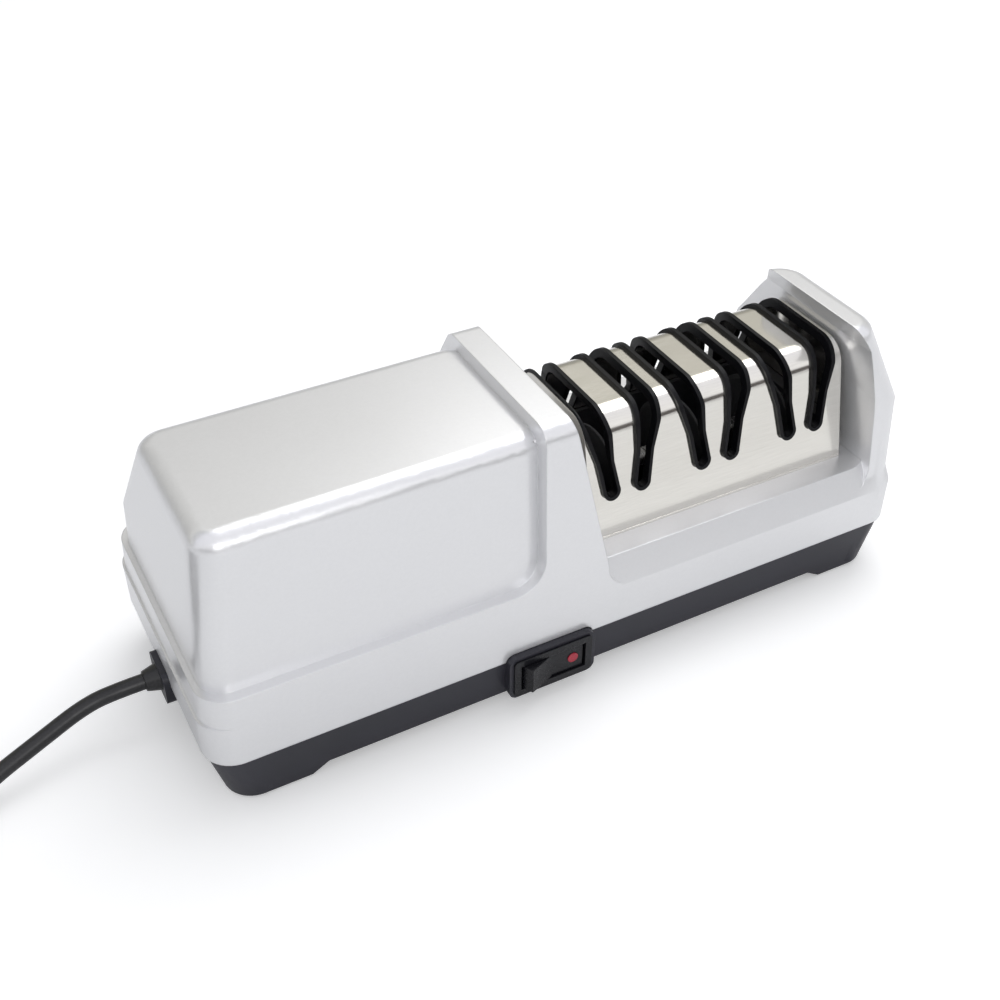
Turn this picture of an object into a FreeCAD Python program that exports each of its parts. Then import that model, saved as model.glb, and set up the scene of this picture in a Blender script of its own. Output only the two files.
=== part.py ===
import FreeCAD, Part
import math
import os
from FreeCAD import Vector

# Electric knife sharpener: a motor under the left half of a cast housing drives a shaft with three
# pairs of sprung abrasive discs in the module under the steel cover on the right.
# X runs along the housing, Y from front to back, Z up from the surface that it stands on.

doc = FreeCAD.newDocument("knife_sharpener")
sheet = doc.addObject("Spreadsheet::Sheet", "Sizes")
size_row = 0
sizes = {}


def size(alias, value, note):
    """Writes one driving dimension, in millimetres or degrees, to the sheet and returns it."""
    global size_row
    size_row += 1
    sheet.set("A%d" % size_row, note)
    sheet.set("B%d" % size_row, str(value))
    sheet.setAlias("B%d" % size_row, alias)
    sizes[alias] = value
    return value


# Overall housing
length = size("length", 340.0, "length of the housing where it meets the base")
right_end = size("right_end", 170.0, "distance of the frame's origin from the right end of the housing")
width = size("width", 126.0, "width of the housing where it meets the base")
foot_drop = size("foot_drop", 1.5, "height of the rubber feet below the base")
base_height = size("base_height", 25.0, "height of the black base above the rubber feet")
corner_radius = size("corner_radius", 14.0, "corner radius of the housing seen from above")
shell_wall = size("shell_wall", 3.0, "wall of the cast housing")
step_depth = size("step_depth", 4.8, "depth of the step round the motor cover")
step_corner = size("step_corner", 14.0, "radius where the step turns from the ledge to the band")
ledge_rise = size("ledge_rise", 35.0, "height of the ledge above the base")
cover_rise = size("cover_rise", 105.5, "height of the motor cover above the base")
band_rise = size("band_rise", 111.0, "height of the middle band above the base")
wall_rise = size("wall_rise", 105.0, "height of the end wall above the base")
knee_rise = size("knee_rise", 57.0, "height of the knee in the back above the base")
sill_rise = size("sill_rise", 20.0, "height of the sill of the saddle above the base")
shelf_rise = size("shelf_rise", 33.5, "height of the shelf of the saddle above the base")
shelf_inset = size("shelf_inset", 5.5, "how far the lip leans in from the sill to the shelf")
front_lean = size("front_lean", 3.0, "how far the front leans in at the top")
back_lean = size("back_lean", 5.0, "how far the back leans in at the knee")
back_slope = size("back_slope", 35.0, "how far the back leans in from the knee to the top")
end_lean = size("end_lean", 2.5, "how far the left end leans in at the knee")
end_slope = size("end_slope", 5.5, "how far the left end leans in from the knee to the top")
top_round = size("top_round", 8.0, "rounding of the top edges of the housing")
band_left = size("band_left", -22.4, "place of the step at the left of the middle band")
saddle_left_top = size("saddle_left_top", -9.5, "left edge of the saddle at the top of the band")
saddle_left_low = size("saddle_left_low", 8.0, "left edge of the saddle at the shelf")
saddle_right_top = size("saddle_right_top", 137.0, "right edge of the saddle at the top of the wall")
saddle_right_mid = size("saddle_right_mid", 148.0, "right edge of the saddle at two thirds height")
saddle_right_high = size("saddle_right_high", 144.2, "right edge of the saddle below its round top")
saddle_high_rise = size("saddle_high_rise", 93.5, "height of that place above the base")
saddle_right_low = size("saddle_right_low", 150.5, "right edge of the saddle at the shelf")
saddle_round = size("saddle_round", 13.0, "radius in the lower corners of the saddle")
wall_outer_top = size("wall_outer_top", 149.0, "outer edge of the end wall at its top")
wall_knee_rise = size("wall_knee_rise", 64.0, "height of the knee in the end wall above the base")
wall_front_knee = size("wall_front_knee", 5.0, "how far the end wall leans in at the front knee")
wall_front_top = size("wall_front_top", 11.0, "how far the end wall leans in at the front top")
wall_back_knee = size("wall_back_knee", 18.0, "how far the end wall leans in at the back knee")
wall_back_top = size("wall_back_top", 50.0, "how far the end wall leans in at the back top")
running = size("running", 0.3, "clearance between pieces that sit in one another")
bearing_fit = size("bearing_fit", 0.05, "radial clearance of a running fit")

# Drive line
axis_y = size("axis_y", -10.0, "place of the shaft line from the middle of the width")
axis_z = size("axis_z", 66.0, "height of the shaft line")
stator_room = size("stator_room", 23.0, "room from a side of the housing to that side of the stator")
motor_rear_room = size("motor_rear_room", 61.0, "room from the left end of the housing to the stator stack")
motor_front_room = size("motor_front_room", 52.0, "room from the stator stack to the coupling's middle")
rotor_cover = size("rotor_cover", 18.0, "distance from a side of the stator to the rotor")
air_gap = size("air_gap", 0.6, "gap between rotor and stator")
motor_shaft_diameter = size("motor_shaft_diameter", 8.0, "diameter of the motor shaft")
winding_length = size("winding_length", 11.0, "how far the end windings stand out of the stator")
bell_gap = size("bell_gap", 3.0, "gap from the end windings to the end bells")
bell_plate = size("bell_plate", 5.0, "plate of the end bells")
bearing_outer = size("bearing_outer", 22.0, "outer diameter of the motor bearings")
bearing_width = size("bearing_width", 7.0, "width of the motor bearings")
fan_diameter = size("fan_diameter", 66.0, "diameter of the cooling fan")
fan_width = size("fan_width", 12.0, "width of the cooling fan")
fan_blades = size("fan_blades", 9, "number of fan blades")
coupling_diameter = size("coupling_diameter", 26.0, "diameter of the coupling")
coupling_hub = size("coupling_hub", 11.0, "length of each coupling hub")
spider_width = size("spider_width", 7.0, "width of the coupling spider")
coupling_x = size("coupling_x", -19.0, "middle of the coupling along the housing")
disc_shaft_diameter = size("disc_shaft_diameter", 8.0, "diameter of the disc shaft")
disc_shaft_flats = size("disc_shaft_flats", 6.6, "width across the flats of the disc shaft")
disc_diameter = size("disc_diameter", 46.0, "diameter of the abrasive discs")
disc_plate = size("disc_plate", 1.8, "thickness of an abrasive disc at its rim")
disc_face = size("disc_face", 4.9, "distance from the middle of a stage to a disc's outer face")
disc_hub = size("disc_hub", 2.6, "length of a disc's hub with its plate")
disc_travel = size("disc_travel", 0.8, "how far a disc can be pushed in against its spring")
stage_x = size("stage_x", 74.2, "middle of the second stage along the housing")
stage_pitch = size("stage_pitch", 46.4, "distance between the stages")
spring_wire = size("spring_wire", 0.7, "wire of the disc springs")
spring_diameter = size("spring_diameter", 12.0, "diameter of the disc springs to the wire's middle")
spring_turns = size("spring_turns", 3, "turns of a disc spring")

# Sharpening module
module_left = size("module_left", 9.5, "left end of the module")
module_right = size("module_right", 143.5, "right end of the module")
module_front = size("module_front", -46.5, "front of the module at the shelf")
module_back = size("module_back", 26.5, "back of the module at the shelf")
cover_lean = size("cover_lean", 11.5, "how far the module cover leans in from shelf to top")
module_top = size("module_top", 115.5, "top of the module cover")
cover_bend = size("cover_bend", 12.0, "bend radius of the module cover")
cover_sheet = size("cover_sheet", 1.2, "sheet of the module cover")
frame_wall = size("frame_wall", 4.0, "wall of the module frame")
rim_rise = size("rim_rise", 1.6, "how far a blade guide's rim stands over the cover")
guide_depth = size("guide_depth", 2.4, "how far a blade guide reaches below the cover's skin")
guide_top_width = size("guide_top_width", 12.4, "width of a blade guide on the top")
guide_tip_width = size("guide_tip_width", 8.4, "width of a blade guide at its tip")
slot_top_width = size("slot_top_width", 8.4, "width of the knife slot on the top")
slot_tip_width = size("slot_tip_width", 5.4, "width of the knife slot at its tip")
guide_top_offset = size("guide_top_offset", 13.3, "guide from the middle of its stage at the top")
guide_tip_offset = size("guide_tip_offset", 7.6, "guide from the middle of its stage at its tip")
guide_tip_z = size("guide_tip_z", 78.0, "lowest point of a blade guide")
guide_neck_z = size("guide_neck_z", 96.0, "height where a blade guide has narrowed")
guide_wide_z = size("guide_wide_z", 108.0, "height where a blade guide starts to narrow")

# Switch and cord
switch_x = size("switch_x", -20.0, "middle of the switch along the housing")
switch_z = size("switch_z", 18.0, "height of the middle of the switch")
boss_width = size("boss_width", 42.0, "width of the switch boss")
boss_height = size("boss_height", 23.0, "height of the switch boss")
boss_stand = size("boss_stand", 3.0, "how far the switch boss stands out of the housing")
gland_stand = size("gland_stand", 2.6, "how far the cord boss stands out of the housing")
rocker_radius = size("rocker_radius", 15.5, "radius of the rocker's ends about its pivot")
rocker_height = size("rocker_height", 13.0, "height of the rocker")
rocker_angle = size("rocker_angle", 22.0, "angle between the two faces of the rocker")
pivot_depth = size("pivot_depth", 4.5, "depth of the rocker's pivot behind the bezel")
lens_diameter = size("lens_diameter", 5.0, "diameter of the indicator lens")
cord_diameter = size("cord_diameter", 7.0, "diameter of the power cord")
cord_y = size("cord_y", 1.0, "place of the cord's exit from the middle of the width")
cord_z = size("cord_z", 24.0, "height of the cord's exit")
relief_stand = size("relief_stand", 6.0, "how far the strain relief stands out of the boss")
relief_tip = size("relief_tip", 8.8, "diameter of the strain relief at its tip")

seam_z = foot_drop + base_height
outer_left = right_end - length
half_width = width / 2
stack_from = outer_left + motor_rear_room
stack_to = coupling_x - motor_front_room
stator_x = (stack_from + stack_to) / 2
stator_size = width - 2 * stator_room
half_stator = stator_size / 2
rotor_diameter = stator_size - 2 * rotor_cover
shelf_z = seam_z + shelf_rise
sill_z = seam_z + sill_rise
ledge_z = seam_z + ledge_rise
knee_z = seam_z + knee_rise
cover_z = seam_z + cover_rise
band_z = seam_z + band_rise
wall_z = seam_z + wall_rise
wall_knee_z = seam_z + wall_knee_rise


def named(alias):
    """The way an expression names one cell of the sheet."""
    return "Sizes." + alias


def bound_box(label, width_x, width_y, width_z, at):
    """A box whose three sizes are bound to expressions of the sheet, with its corner at a point."""
    box = doc.addObject("Part::Box", label)
    box.setExpression("Length", width_x)
    box.setExpression("Width", width_y)
    box.setExpression("Height", width_z)
    box.setExpression("Placement.Base.x", at[0])
    box.setExpression("Placement.Base.y", at[1])
    box.setExpression("Placement.Base.z", at[2])
    return box


def bound_rod(label, radius, long, at_x, at_y=named("axis_y"), at_z=named("axis_z")):
    """A cylinder along X whose sizes are bound to expressions of the sheet."""
    rod = doc.addObject("Part::Cylinder", label)
    rod.Placement.Rotation = FreeCAD.Rotation(Vector(0, 1, 0), 90)
    rod.setExpression("Radius", radius)
    rod.setExpression("Height", long)
    rod.setExpression("Placement.Base.x", at_x)
    rod.setExpression("Placement.Base.y", at_y)
    rod.setExpression("Placement.Base.z", at_z)
    return rod


def joined(label, kind, *pieces):
    """A boolean of bound pieces: Part::Cut, Part::Common or Part::MultiFuse."""
    result = doc.addObject(kind, label)
    if kind == "Part::MultiFuse":
        result.Shapes = list(pieces)
    else:
        result.Base = pieces[0]
        result.Tool = pieces[1]
    result.Label = label
    return result


def placed(label, shape):
    """A sub-part whose shape is worked out below from the same sizes."""
    feature = doc.addObject("Part::Feature", label)
    feature.Shape = shape
    feature.Label = label
    return feature


def rounded_rectangle(x_from, x_to, y_from, y_to, radius, z):
    """A flat wire with four rounded corners."""
    r = radius
    diagonal = r * (1 - math.sqrt(0.5))
    corners = [
        ((x_to - r, y_from), (x_to - diagonal, y_from + diagonal), (x_to, y_from + r)),
        ((x_to, y_to - r), (x_to - diagonal, y_to - diagonal), (x_to - r, y_to)),
        ((x_from + r, y_to), (x_from + diagonal, y_to - diagonal), (x_from, y_to - r)),
        ((x_from, y_from + r), (x_from + diagonal, y_from + diagonal), (x_from + r, y_from)),
    ]
    edges = []
    for index, corner in enumerate(corners):
        first, middle, last = [Vector(x, y, z) for x, y in corner]
        following = corners[(index + 1) % 4][0]
        edges.append(Part.Arc(first, middle, last).toShape())
        edges.append(Part.LineSegment(last, Vector(following[0], following[1], z)).toShape())
    return Part.Wire(edges)


def block(levels, radius, inset=0.0, inset_top=0.0):
    """A solid through rounded rectangles, one per level (z, x_from, x_to, y_from, y_to)."""
    wires = []
    for index, (z, x_from, x_to, y_from, y_to) in enumerate(levels):
        height = z - inset_top if index == len(levels) - 1 else z
        wires.append(rounded_rectangle(x_from + inset, x_to - inset, y_from + inset, y_to - inset,
                                       radius - inset, height))
    return Part.makeLoft(wires, True, True)


def round_top(shape, z, radius, keep=lambda edge: True):
    """Rounds the edges of the top face at a height."""
    edges = [e for e in shape.Edges
             if abs(e.BoundBox.ZMin - z) < 1e-4 and abs(e.BoundBox.ZMax - z) < 1e-4 and keep(e)]
    return shape.makeFillet(radius, edges)


def prism_y(points, y_from, y_to):
    """A solid with straight sides, from an outline (x, z) drawn from front to back."""
    wire = Part.makePolygon([Vector(x, y_from, z) for x, z in points + points[:1]])
    return Part.Face(wire).extrude(Vector(0, y_to - y_from, 0))


def rod_x(radius, x_from, x_to, y=axis_y, z=axis_z):
    return Part.makeCylinder(radius, x_to - x_from, Vector(x_from, y, z), Vector(1, 0, 0))


def rod_z(radius, x, y, z_from, z_to):
    return Part.makeCylinder(radius, z_to - z_from, Vector(x, y, z_from))


def box(x_from, x_to, y_from, y_to, z_from, z_to):
    return Part.makeBox(x_to - x_from, y_to - y_from, z_to - z_from, Vector(x_from, y_from, z_from))


# Outer forms of the housing. Each level is a height and the four sides there.
front = -half_width
back = half_width
lean_at_ledge = end_lean * ledge_rise / knee_rise
past = saddle_round + shelf_inset

band_levels = [
    (seam_z, outer_left, saddle_left_low + past, front, back),
    (ledge_z, outer_left + lean_at_ledge, saddle_left_low + past, front, back - back_lean / 2),
    (knee_z, outer_left + end_lean, saddle_left_low + past, front + front_lean / 3, back - back_lean),
    (band_z, outer_left + end_lean + end_slope, saddle_left_low + past, front + front_lean,
     back - back_lean - back_slope),
]
cover_levels = [
    (seam_z, outer_left + step_depth / 2, band_left + step_depth, front + step_depth,
     back - step_depth),
    (ledge_z, outer_left + lean_at_ledge + step_depth / 2, band_left + step_depth,
     front + step_depth, back - back_lean / 2 - step_depth),
    (knee_z, outer_left + end_lean + step_depth / 2, band_left + step_depth,
     front + front_lean / 3 + step_depth, back - back_lean - step_depth),
    (cover_z, outer_left + end_lean + end_slope + step_depth / 2, band_left + step_depth,
     front + front_lean + step_depth, back - back_lean - back_slope - step_depth / 2),
]
wall_knee_end = right_end - wall_front_knee + shelf_inset / 2
wall_levels = [
    (seam_z, saddle_left_low, right_end, front, back),
    (sill_z, saddle_left_low, right_end, front, back),
    ((sill_z + shelf_z) / 2, saddle_left_low, right_end - shelf_inset / 5, front + shelf_inset / 2,
     back - shelf_inset / 2),
    (wall_knee_z, saddle_left_low, wall_knee_end, front + wall_front_knee, back - wall_back_knee),
    (wall_z, saddle_left_low, wall_outer_top, front + wall_front_top, back - wall_back_top),
]
skirt_levels = [
    (seam_z, outer_left, right_end, front, back),
    (sill_z, outer_left, right_end, front, back),
]
lip_levels = [
    (sill_z, saddle_left_low - past, right_end - past / 2, front, back),
    (shelf_z, saddle_left_low - past, right_end - past / 2 - shelf_inset, front + shelf_inset,
     back - shelf_inset),
]
above = band_z + corner_radius


def trough(offset):
    """The room between the middle band and the end wall, made narrower by an offset."""
    left_top = saddle_left_top + offset
    left_low = saddle_left_low + offset
    right_low = saddle_right_low - offset
    right_mid = saddle_right_mid - offset
    right_high = saddle_right_high - offset
    right_top = saddle_right_top - offset
    mid_z = seam_z + 2 * wall_rise / 3
    floor = sill_z + offset
    points = [(left_top - past * (saddle_left_low - saddle_left_top) / (band_z - shelf_z), above),
              (left_top, band_z), (left_low, shelf_z), (left_low, floor), (right_low, floor),
              (right_low, shelf_z), (right_mid, mid_z), (right_high, seam_z + saddle_high_rise),
              (right_top, wall_z), (right_top, above)]
    room = prism_y(points, front - past, back + past)
    corners = [e for e in room.Edges
               if abs(e.BoundBox.ZMin - floor) < 1e-4 and abs(e.BoundBox.ZMax - floor) < 1e-4
               and e.BoundBox.YLength > width]
    return room.makeFillet(saddle_round, corners)


def step_room():
    """The room over the ledge and left of the band, with its rounded lower corner."""
    x_end = band_left
    room = prism_y([(outer_left - past, ledge_z), (x_end, ledge_z), (x_end, above),
                    (outer_left - past, above)], front - past, back + past)
    corner = [e for e in room.Edges
              if abs(e.BoundBox.XMin - x_end) < 1e-4 and abs(e.BoundBox.XMax - x_end) < 1e-4
              and abs(e.BoundBox.ZMax - ledge_z) < 1e-4]
    return room.makeFillet(step_corner, corner)


def housing_outer():
    """The outside of the whole housing as one solid body."""
    band = round_top(block(band_levels, corner_radius), band_z, top_round)
    band = band.cut(step_room())
    cover = round_top(block(cover_levels, corner_radius - step_depth / 2), cover_z, top_round)
    wall = round_top(block(wall_levels, corner_radius), wall_z, top_round)
    left_side = band.fuse(cover)
    shape = left_side.fuse([wall, block(skirt_levels, corner_radius)]).cut(trough(0))
    lip = block(lip_levels, corner_radius)
    return shape.fuse(lip).removeSplitter()


def lowered(levels, drop, below):
    """The same levels with the top lowered by a wall and the bottom taken below the seam."""
    first = levels[0]
    last = levels[-1]
    return ([(first[0] - below,) + tuple(first[1:])] + [tuple(level) for level in levels[1:-1]]
            + [(last[0] - drop,) + tuple(last[1:])])


def housing_room():
    """The hollow of the housing, open at the bottom."""
    motor_levels = [tuple(level[:2]) + (saddle_left_low + past,) + tuple(level[3:])
                    for level in cover_levels]
    motor_room = block(lowered(motor_levels, shell_wall, shell_wall),
                       corner_radius - step_depth / 2, shell_wall)
    motor_room = motor_room.cut(trough(-shell_wall))
    end_room = block(lowered(wall_levels, shell_wall, shell_wall), corner_radius, shell_wall)
    end_room = end_room.cut(trough(-shell_wall))
    ceiling = shelf_z - shell_wall
    side = shell_wall + shelf_inset
    under_shelf = block([(seam_z - shell_wall, outer_left + side, right_end - side, front + side,
                          back - side),
                         (ceiling, outer_left + side, right_end - side, front + side,
                          back - side)], corner_radius - shell_wall)
    return motor_room.fuse([end_room, under_shelf])


bearing_outer_disc = 19.0
bearing_disc_width = 6.0
post_radius = 6.0
post_left = outer_left + corner_radius + post_radius
post_right = right_end - corner_radius - post_radius
post_bite = 1.2
post_y = half_width - shell_wall - post_radius + post_bite
screw_radius = 2.0
screw_head_radius = 3.8
post_places = [(x, side * post_y) for x in (post_left, post_right) for side in (-1, 1)]
frame_step = 3.0
opening_left = module_left + frame_step
opening_right = module_right - frame_step
opening_front = module_front + frame_step
opening_back = module_back - frame_step
boss_left = switch_x - boss_width / 2
boss_right = switch_x + boss_width / 2
boss_low = switch_z - boss_height / 2
boss_high = switch_z + boss_height / 2
boss_front = front - boss_stand
boss_round = 4.0
gland_half = 10.5
gland_low = cord_z - 9.0
gland_high = cord_z + 7.5
gland_end = outer_left - gland_stand


def soft_box(x_from, x_to, y_from, y_to, z_from, z_to, radius, axis):
    """A box with the four edges along one axis rounded."""
    shape = box(x_from, x_to, y_from, y_to, z_from, z_to)
    names = {"x": "XLength", "y": "YLength", "z": "ZLength"}
    along = names[axis]
    others = [value for key, value in names.items() if key != axis]
    edges = [e for e in shape.Edges if getattr(e.BoundBox, along) > 1e-3
             and getattr(e.BoundBox, others[0]) < 1e-3 and getattr(e.BoundBox, others[1]) < 1e-3]
    return shape.makeFillet(radius, edges)


def switch_boss(grow):
    return soft_box(boss_left - grow, boss_right + grow, boss_front - grow, front + 2 * shell_wall,
                    boss_low - grow, boss_high + grow, boss_round, "y")


def gland_boss(grow):
    return soft_box(gland_end - grow, outer_left + 3 * shell_wall, cord_y - gland_half - grow,
                    cord_y + gland_half + grow, gland_low - grow, gland_high + grow, boss_round, "x")


def make_upper_housing():
    posts = []
    for x, y in post_places:
        posts.append(rod_z(post_radius, x, y, seam_z, shelf_z - shell_wall / 2))
    body = housing_outer().cut(housing_room())
    for post, (x, y) in zip(posts, post_places):
        body = body.fuse(post.common(housing_outer()))
        body = body.cut(rod_z(screw_radius, x, y, seam_z - 1, seam_z + 22.0))
    opening = box(opening_left, opening_right, opening_front, opening_back, seam_z, shelf_z + 1)
    shaft_hole = rod_x(disc_shaft_diameter / 2 + 4.0, band_left, module_left + 1)
    below = box(-length, length, -width, width, seam_z - 2 * corner_radius, seam_z)
    bearing_reach = bearing_outer_disc / 2 + running
    bearing_rooms = [rod_x(bearing_reach, module_left, opening_left + 1),
                     rod_x(bearing_reach, opening_right - 1, module_right)]
    return body.cut([opening, shaft_hole, below, switch_boss(running), gland_boss(running),
                     switch_room(running)] + bearing_rooms)


# Base tray: a shallow tub that stands on two foot sections
base_inset = 1.0
base_taper_end = 7.0
base_taper_side = 3.0
base_wall = 2.6
recess_rise = 4.7
recess_left = outer_left + 48.0
recess_right = right_end - 46.0
recess_slope = 9.0
floor_z = foot_drop + recess_rise + base_wall
foot_floor_z = foot_drop + base_wall
vent_count = 7
vent_width = 3.0
vent_length = 46.0


def make_base_tray():
    levels = [
        (foot_drop, outer_left + base_taper_end, right_end - base_taper_end,
         front + base_taper_side, back - base_taper_side),
        (seam_z, outer_left + base_inset, right_end - base_inset, front + base_inset,
         back - base_inset),
    ]
    body = block(levels, corner_radius - base_inset)
    body = body.fuse([switch_boss(0), gland_boss(0)])
    recess = prism_y([(recess_left - recess_slope, foot_drop - 1), (recess_left, foot_drop + recess_rise),
                      (recess_right, foot_drop + recess_rise),
                      (recess_right + recess_slope, foot_drop - 1)], front - past, back + past)
    rooms = [(floor_z, outer_left + base_taper_end, right_end - base_taper_end,
              front + base_taper_side, back - base_taper_side),
             (seam_z + 1, outer_left + base_inset, right_end - base_inset, front + base_inset,
              back - base_inset)]
    body = body.cut([recess, block(rooms, corner_radius - base_inset, base_wall)])
    foot_pockets = [
        box(post_left + post_radius, recess_left - recess_slope - base_wall, -post_y, post_y,
            foot_floor_z, floor_z + 1),
        box(recess_right + recess_slope + base_wall, post_right - post_radius, -post_y, post_y,
            foot_floor_z, floor_z + 1),
    ]
    body = body.cut(foot_pockets)
    for x, y in post_places:
        body = body.fuse(rod_z(post_radius, x, y, foot_floor_z, seam_z))
    for x, y in motor_foot_places():
        start = foot_floor_z if x < recess_left else floor_z - base_wall
        body = body.fuse(rod_z(motor_post_radius, x, y, start, motor_foot_z))
    holes = []
    for x, y in post_places:
        holes.append(rod_z(screw_radius + running, x, y, 0, seam_z + 1))
        holes.append(rod_z(screw_head_radius + running, x, y, 0, screw_seat_z))
    for x, y in motor_foot_places():
        holes.append(rod_z(foot_screw_radius, x, y, motor_foot_z - foot_screw_length + 1, motor_foot_z + 1))
    for index in range(vent_count):
        x = stator_x + (index - (vent_count - 1) / 2) * 3 * vent_width
        holes.append(box(x - vent_width / 2, x + vent_width / 2, axis_y - vent_length / 2,
                         axis_y + vent_length / 2, 0, floor_z + 1))
    holes.append(switch_room(running))
    holes.append(rod_x(gland_radius + running, gland_end - 1, outer_left + 4 * shell_wall + 2, cord_y,
                       cord_z))
    return body.cut(holes)


screw_seat_z = foot_drop + 9.0
motor_post_radius = 5.0
motor_foot_z = 20.0
foot_top_z = motor_foot_z + 4.0
foot_screw_radius = 1.5
foot_screw_length = 9.0
gland_radius = 6.0
bell_front_x = stack_to + winding_length + bell_gap
bell_rear_x = stack_from - winding_length - bell_gap
foot_length = 13.0
motor_foot_y = half_stator - 12.0


def motor_foot_places():
    """The four places where the motor's end bells are screwed to the base."""
    reach = bell_plate + foot_length / 2
    return [(x, axis_y + side * motor_foot_y) for x in (bell_rear_x - reach, bell_front_x + reach)
            for side in (-1, 1)]


# Rocker switch
pivot_y = boss_front + pivot_depth
bezel_wall = 2.0
bezel_stand = 1.0
rocker_room = rocker_radius + running
switch_depth = 24.0
rocker_gap = 0.35


def switch_room(grow):
    half = rocker_room + bezel_wall + grow
    tall = rocker_height / 2 + rocker_gap + bezel_wall + grow
    return box(switch_x - half, switch_x + half, boss_front - 1, boss_front + switch_depth + 1,
               switch_z - tall, switch_z + tall)


def make_switch_body():
    half = rocker_room + bezel_wall
    tall = rocker_height / 2 + rocker_gap + bezel_wall
    body = box(switch_x - half, switch_x + half, boss_front, boss_front + switch_depth,
               switch_z - tall, switch_z + tall)
    rim = 1.2
    body = body.fuse(soft_box(switch_x - half - rim, switch_x + half + rim, boss_front - bezel_stand,
                              boss_front, switch_z - tall - rim, switch_z + tall + rim, 2.0, "y"))
    well = rod_z(rocker_room, switch_x, pivot_y, switch_z - tall + bezel_wall, switch_z + tall - bezel_wall)
    mouth = box(switch_x - rocker_room, switch_x + rocker_room, boss_front - bezel_stand - 1, pivot_y,
                switch_z - tall + bezel_wall, switch_z + tall - bezel_wall)
    pivot_hole = rod_z(pin_radius + bearing_fit, switch_x, pivot_y, switch_z - tall + pin_cover,
                       switch_z + tall - pin_cover)
    return body.cut([well, mouth, pivot_hole])


pin_radius = 1.8
pin_cover = 0.6


def make_rocker():
    """Two faces at an angle between round ends; the left face stands out at rest."""
    half = rocker_height / 2
    slope = math.tan(math.radians(rocker_angle))
    face_y = boss_front
    reach = rocker_radius + 1
    rear_y = pivot_y + 2.5
    points = [(switch_x - reach, face_y - reach * slope), (switch_x, face_y), (switch_x + reach, face_y),
              (switch_x + reach, rear_y), (switch_x - reach, rear_y)]
    wire = Part.makePolygon([Vector(x, y, switch_z - half) for x, y in points + points[:1]])
    wedge = Part.Face(wire).extrude(Vector(0, 0, rocker_height))
    barrel = rod_z(rocker_radius, switch_x, pivot_y, switch_z - half, switch_z + half)
    body = wedge.common(barrel)
    tall = half + rocker_gap + bezel_wall - pin_cover - running
    pin = rod_z(pin_radius, switch_x, pivot_y, switch_z - tall, switch_z + tall)
    return body.fuse(pin).cut(lens_rod(boss_front - lens_depth, boss_front + lens_depth))


lens_depth = 2.0
lens_stand = 0.4
lens_x = switch_x + rocker_radius - 5.6


def lens_rod(y_from, y_to):
    return Part.makeCylinder(lens_diameter / 2, y_to - y_from, Vector(lens_x, y_from, switch_z),
                             Vector(0, 1, 0))


placed("upper_housing", make_upper_housing())
placed("base_tray", make_base_tray())
placed("switch_body", make_switch_body())
placed("rocker_button", make_rocker())
lens = doc.addObject("Part::Cylinder", "indicator_lens")
size("lens_stand", lens_stand, "how far the indicator lens stands out of the rocker")
size("lens_depth", lens_depth, "how deep the indicator lens sits in the rocker")
lens.setExpression("Radius", "Sizes.lens_diameter / 2")
lens.setExpression("Height", "Sizes.lens_stand + Sizes.lens_depth")
lens.Placement = FreeCAD.Placement(Vector(lens_x, boss_front - lens_stand, switch_z),
                                   FreeCAD.Rotation(Vector(1, 0, 0), -90))

# Rubber feet, one under each corner
foot_radius = 7.0
foot_inset = 22.0


foot_places_x = [(outer_left + base_taper_end + recess_left - recess_slope) / 2,
                 (right_end - base_taper_end + recess_right + recess_slope) / 2]
foot_place_y = half_width - base_taper_side - foot_inset


def make_rubber_feet():
    """Four discs whose radius and height are bound to the sheet."""
    feet = []
    for number, (x, side) in enumerate([(x, side) for x in foot_places_x for side in (-1, 1)], start=1):
        foot = doc.addObject("Part::Cylinder", "rubber_foot_%d" % number)
        foot.setExpression("Radius", named("foot_radius"))
        foot.setExpression("Height", named("foot_drop"))
        foot.Placement.Base = Vector(x, side * foot_place_y, 0)
        feet.append(foot)
    return joined("rubber_feet", "Part::MultiFuse", *feet)


size("foot_radius", foot_radius, "radius of a rubber foot")
make_rubber_feet()

# Module cover: bent steel sheet with six slots, open below
module_middle = (module_front + module_back) / 2
lower_z = shelf_z + cover_sheet


def cover_section(grow, x_from, x_to, z_low):
    """The room inside the module cover's skin, grown outwards by a distance."""
    lean = cover_lean / (module_top - shelf_z)
    low = module_front - grow + lean * (z_low - shelf_z)
    high = module_front - grow + lean * (module_top + grow - shelf_z)
    mirror = 2 * module_middle
    points = [(low, z_low), (mirror - low, z_low), (mirror - high, module_top + grow),
              (high, module_top + grow)]
    wire = Part.makePolygon([Vector(x_from, y, z) for y, z in points + points[:1]])
    shape = Part.Face(wire).extrude(Vector(x_to - x_from, 0, 0))
    top = module_top + grow
    edges = [e for e in shape.Edges
             if abs(e.BoundBox.ZMin - top) < 1e-4 and abs(e.BoundBox.ZMax - top) < 1e-4
             and e.BoundBox.XLength > 1]
    return shape.makeFillet(cover_bend + grow, edges)


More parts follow.
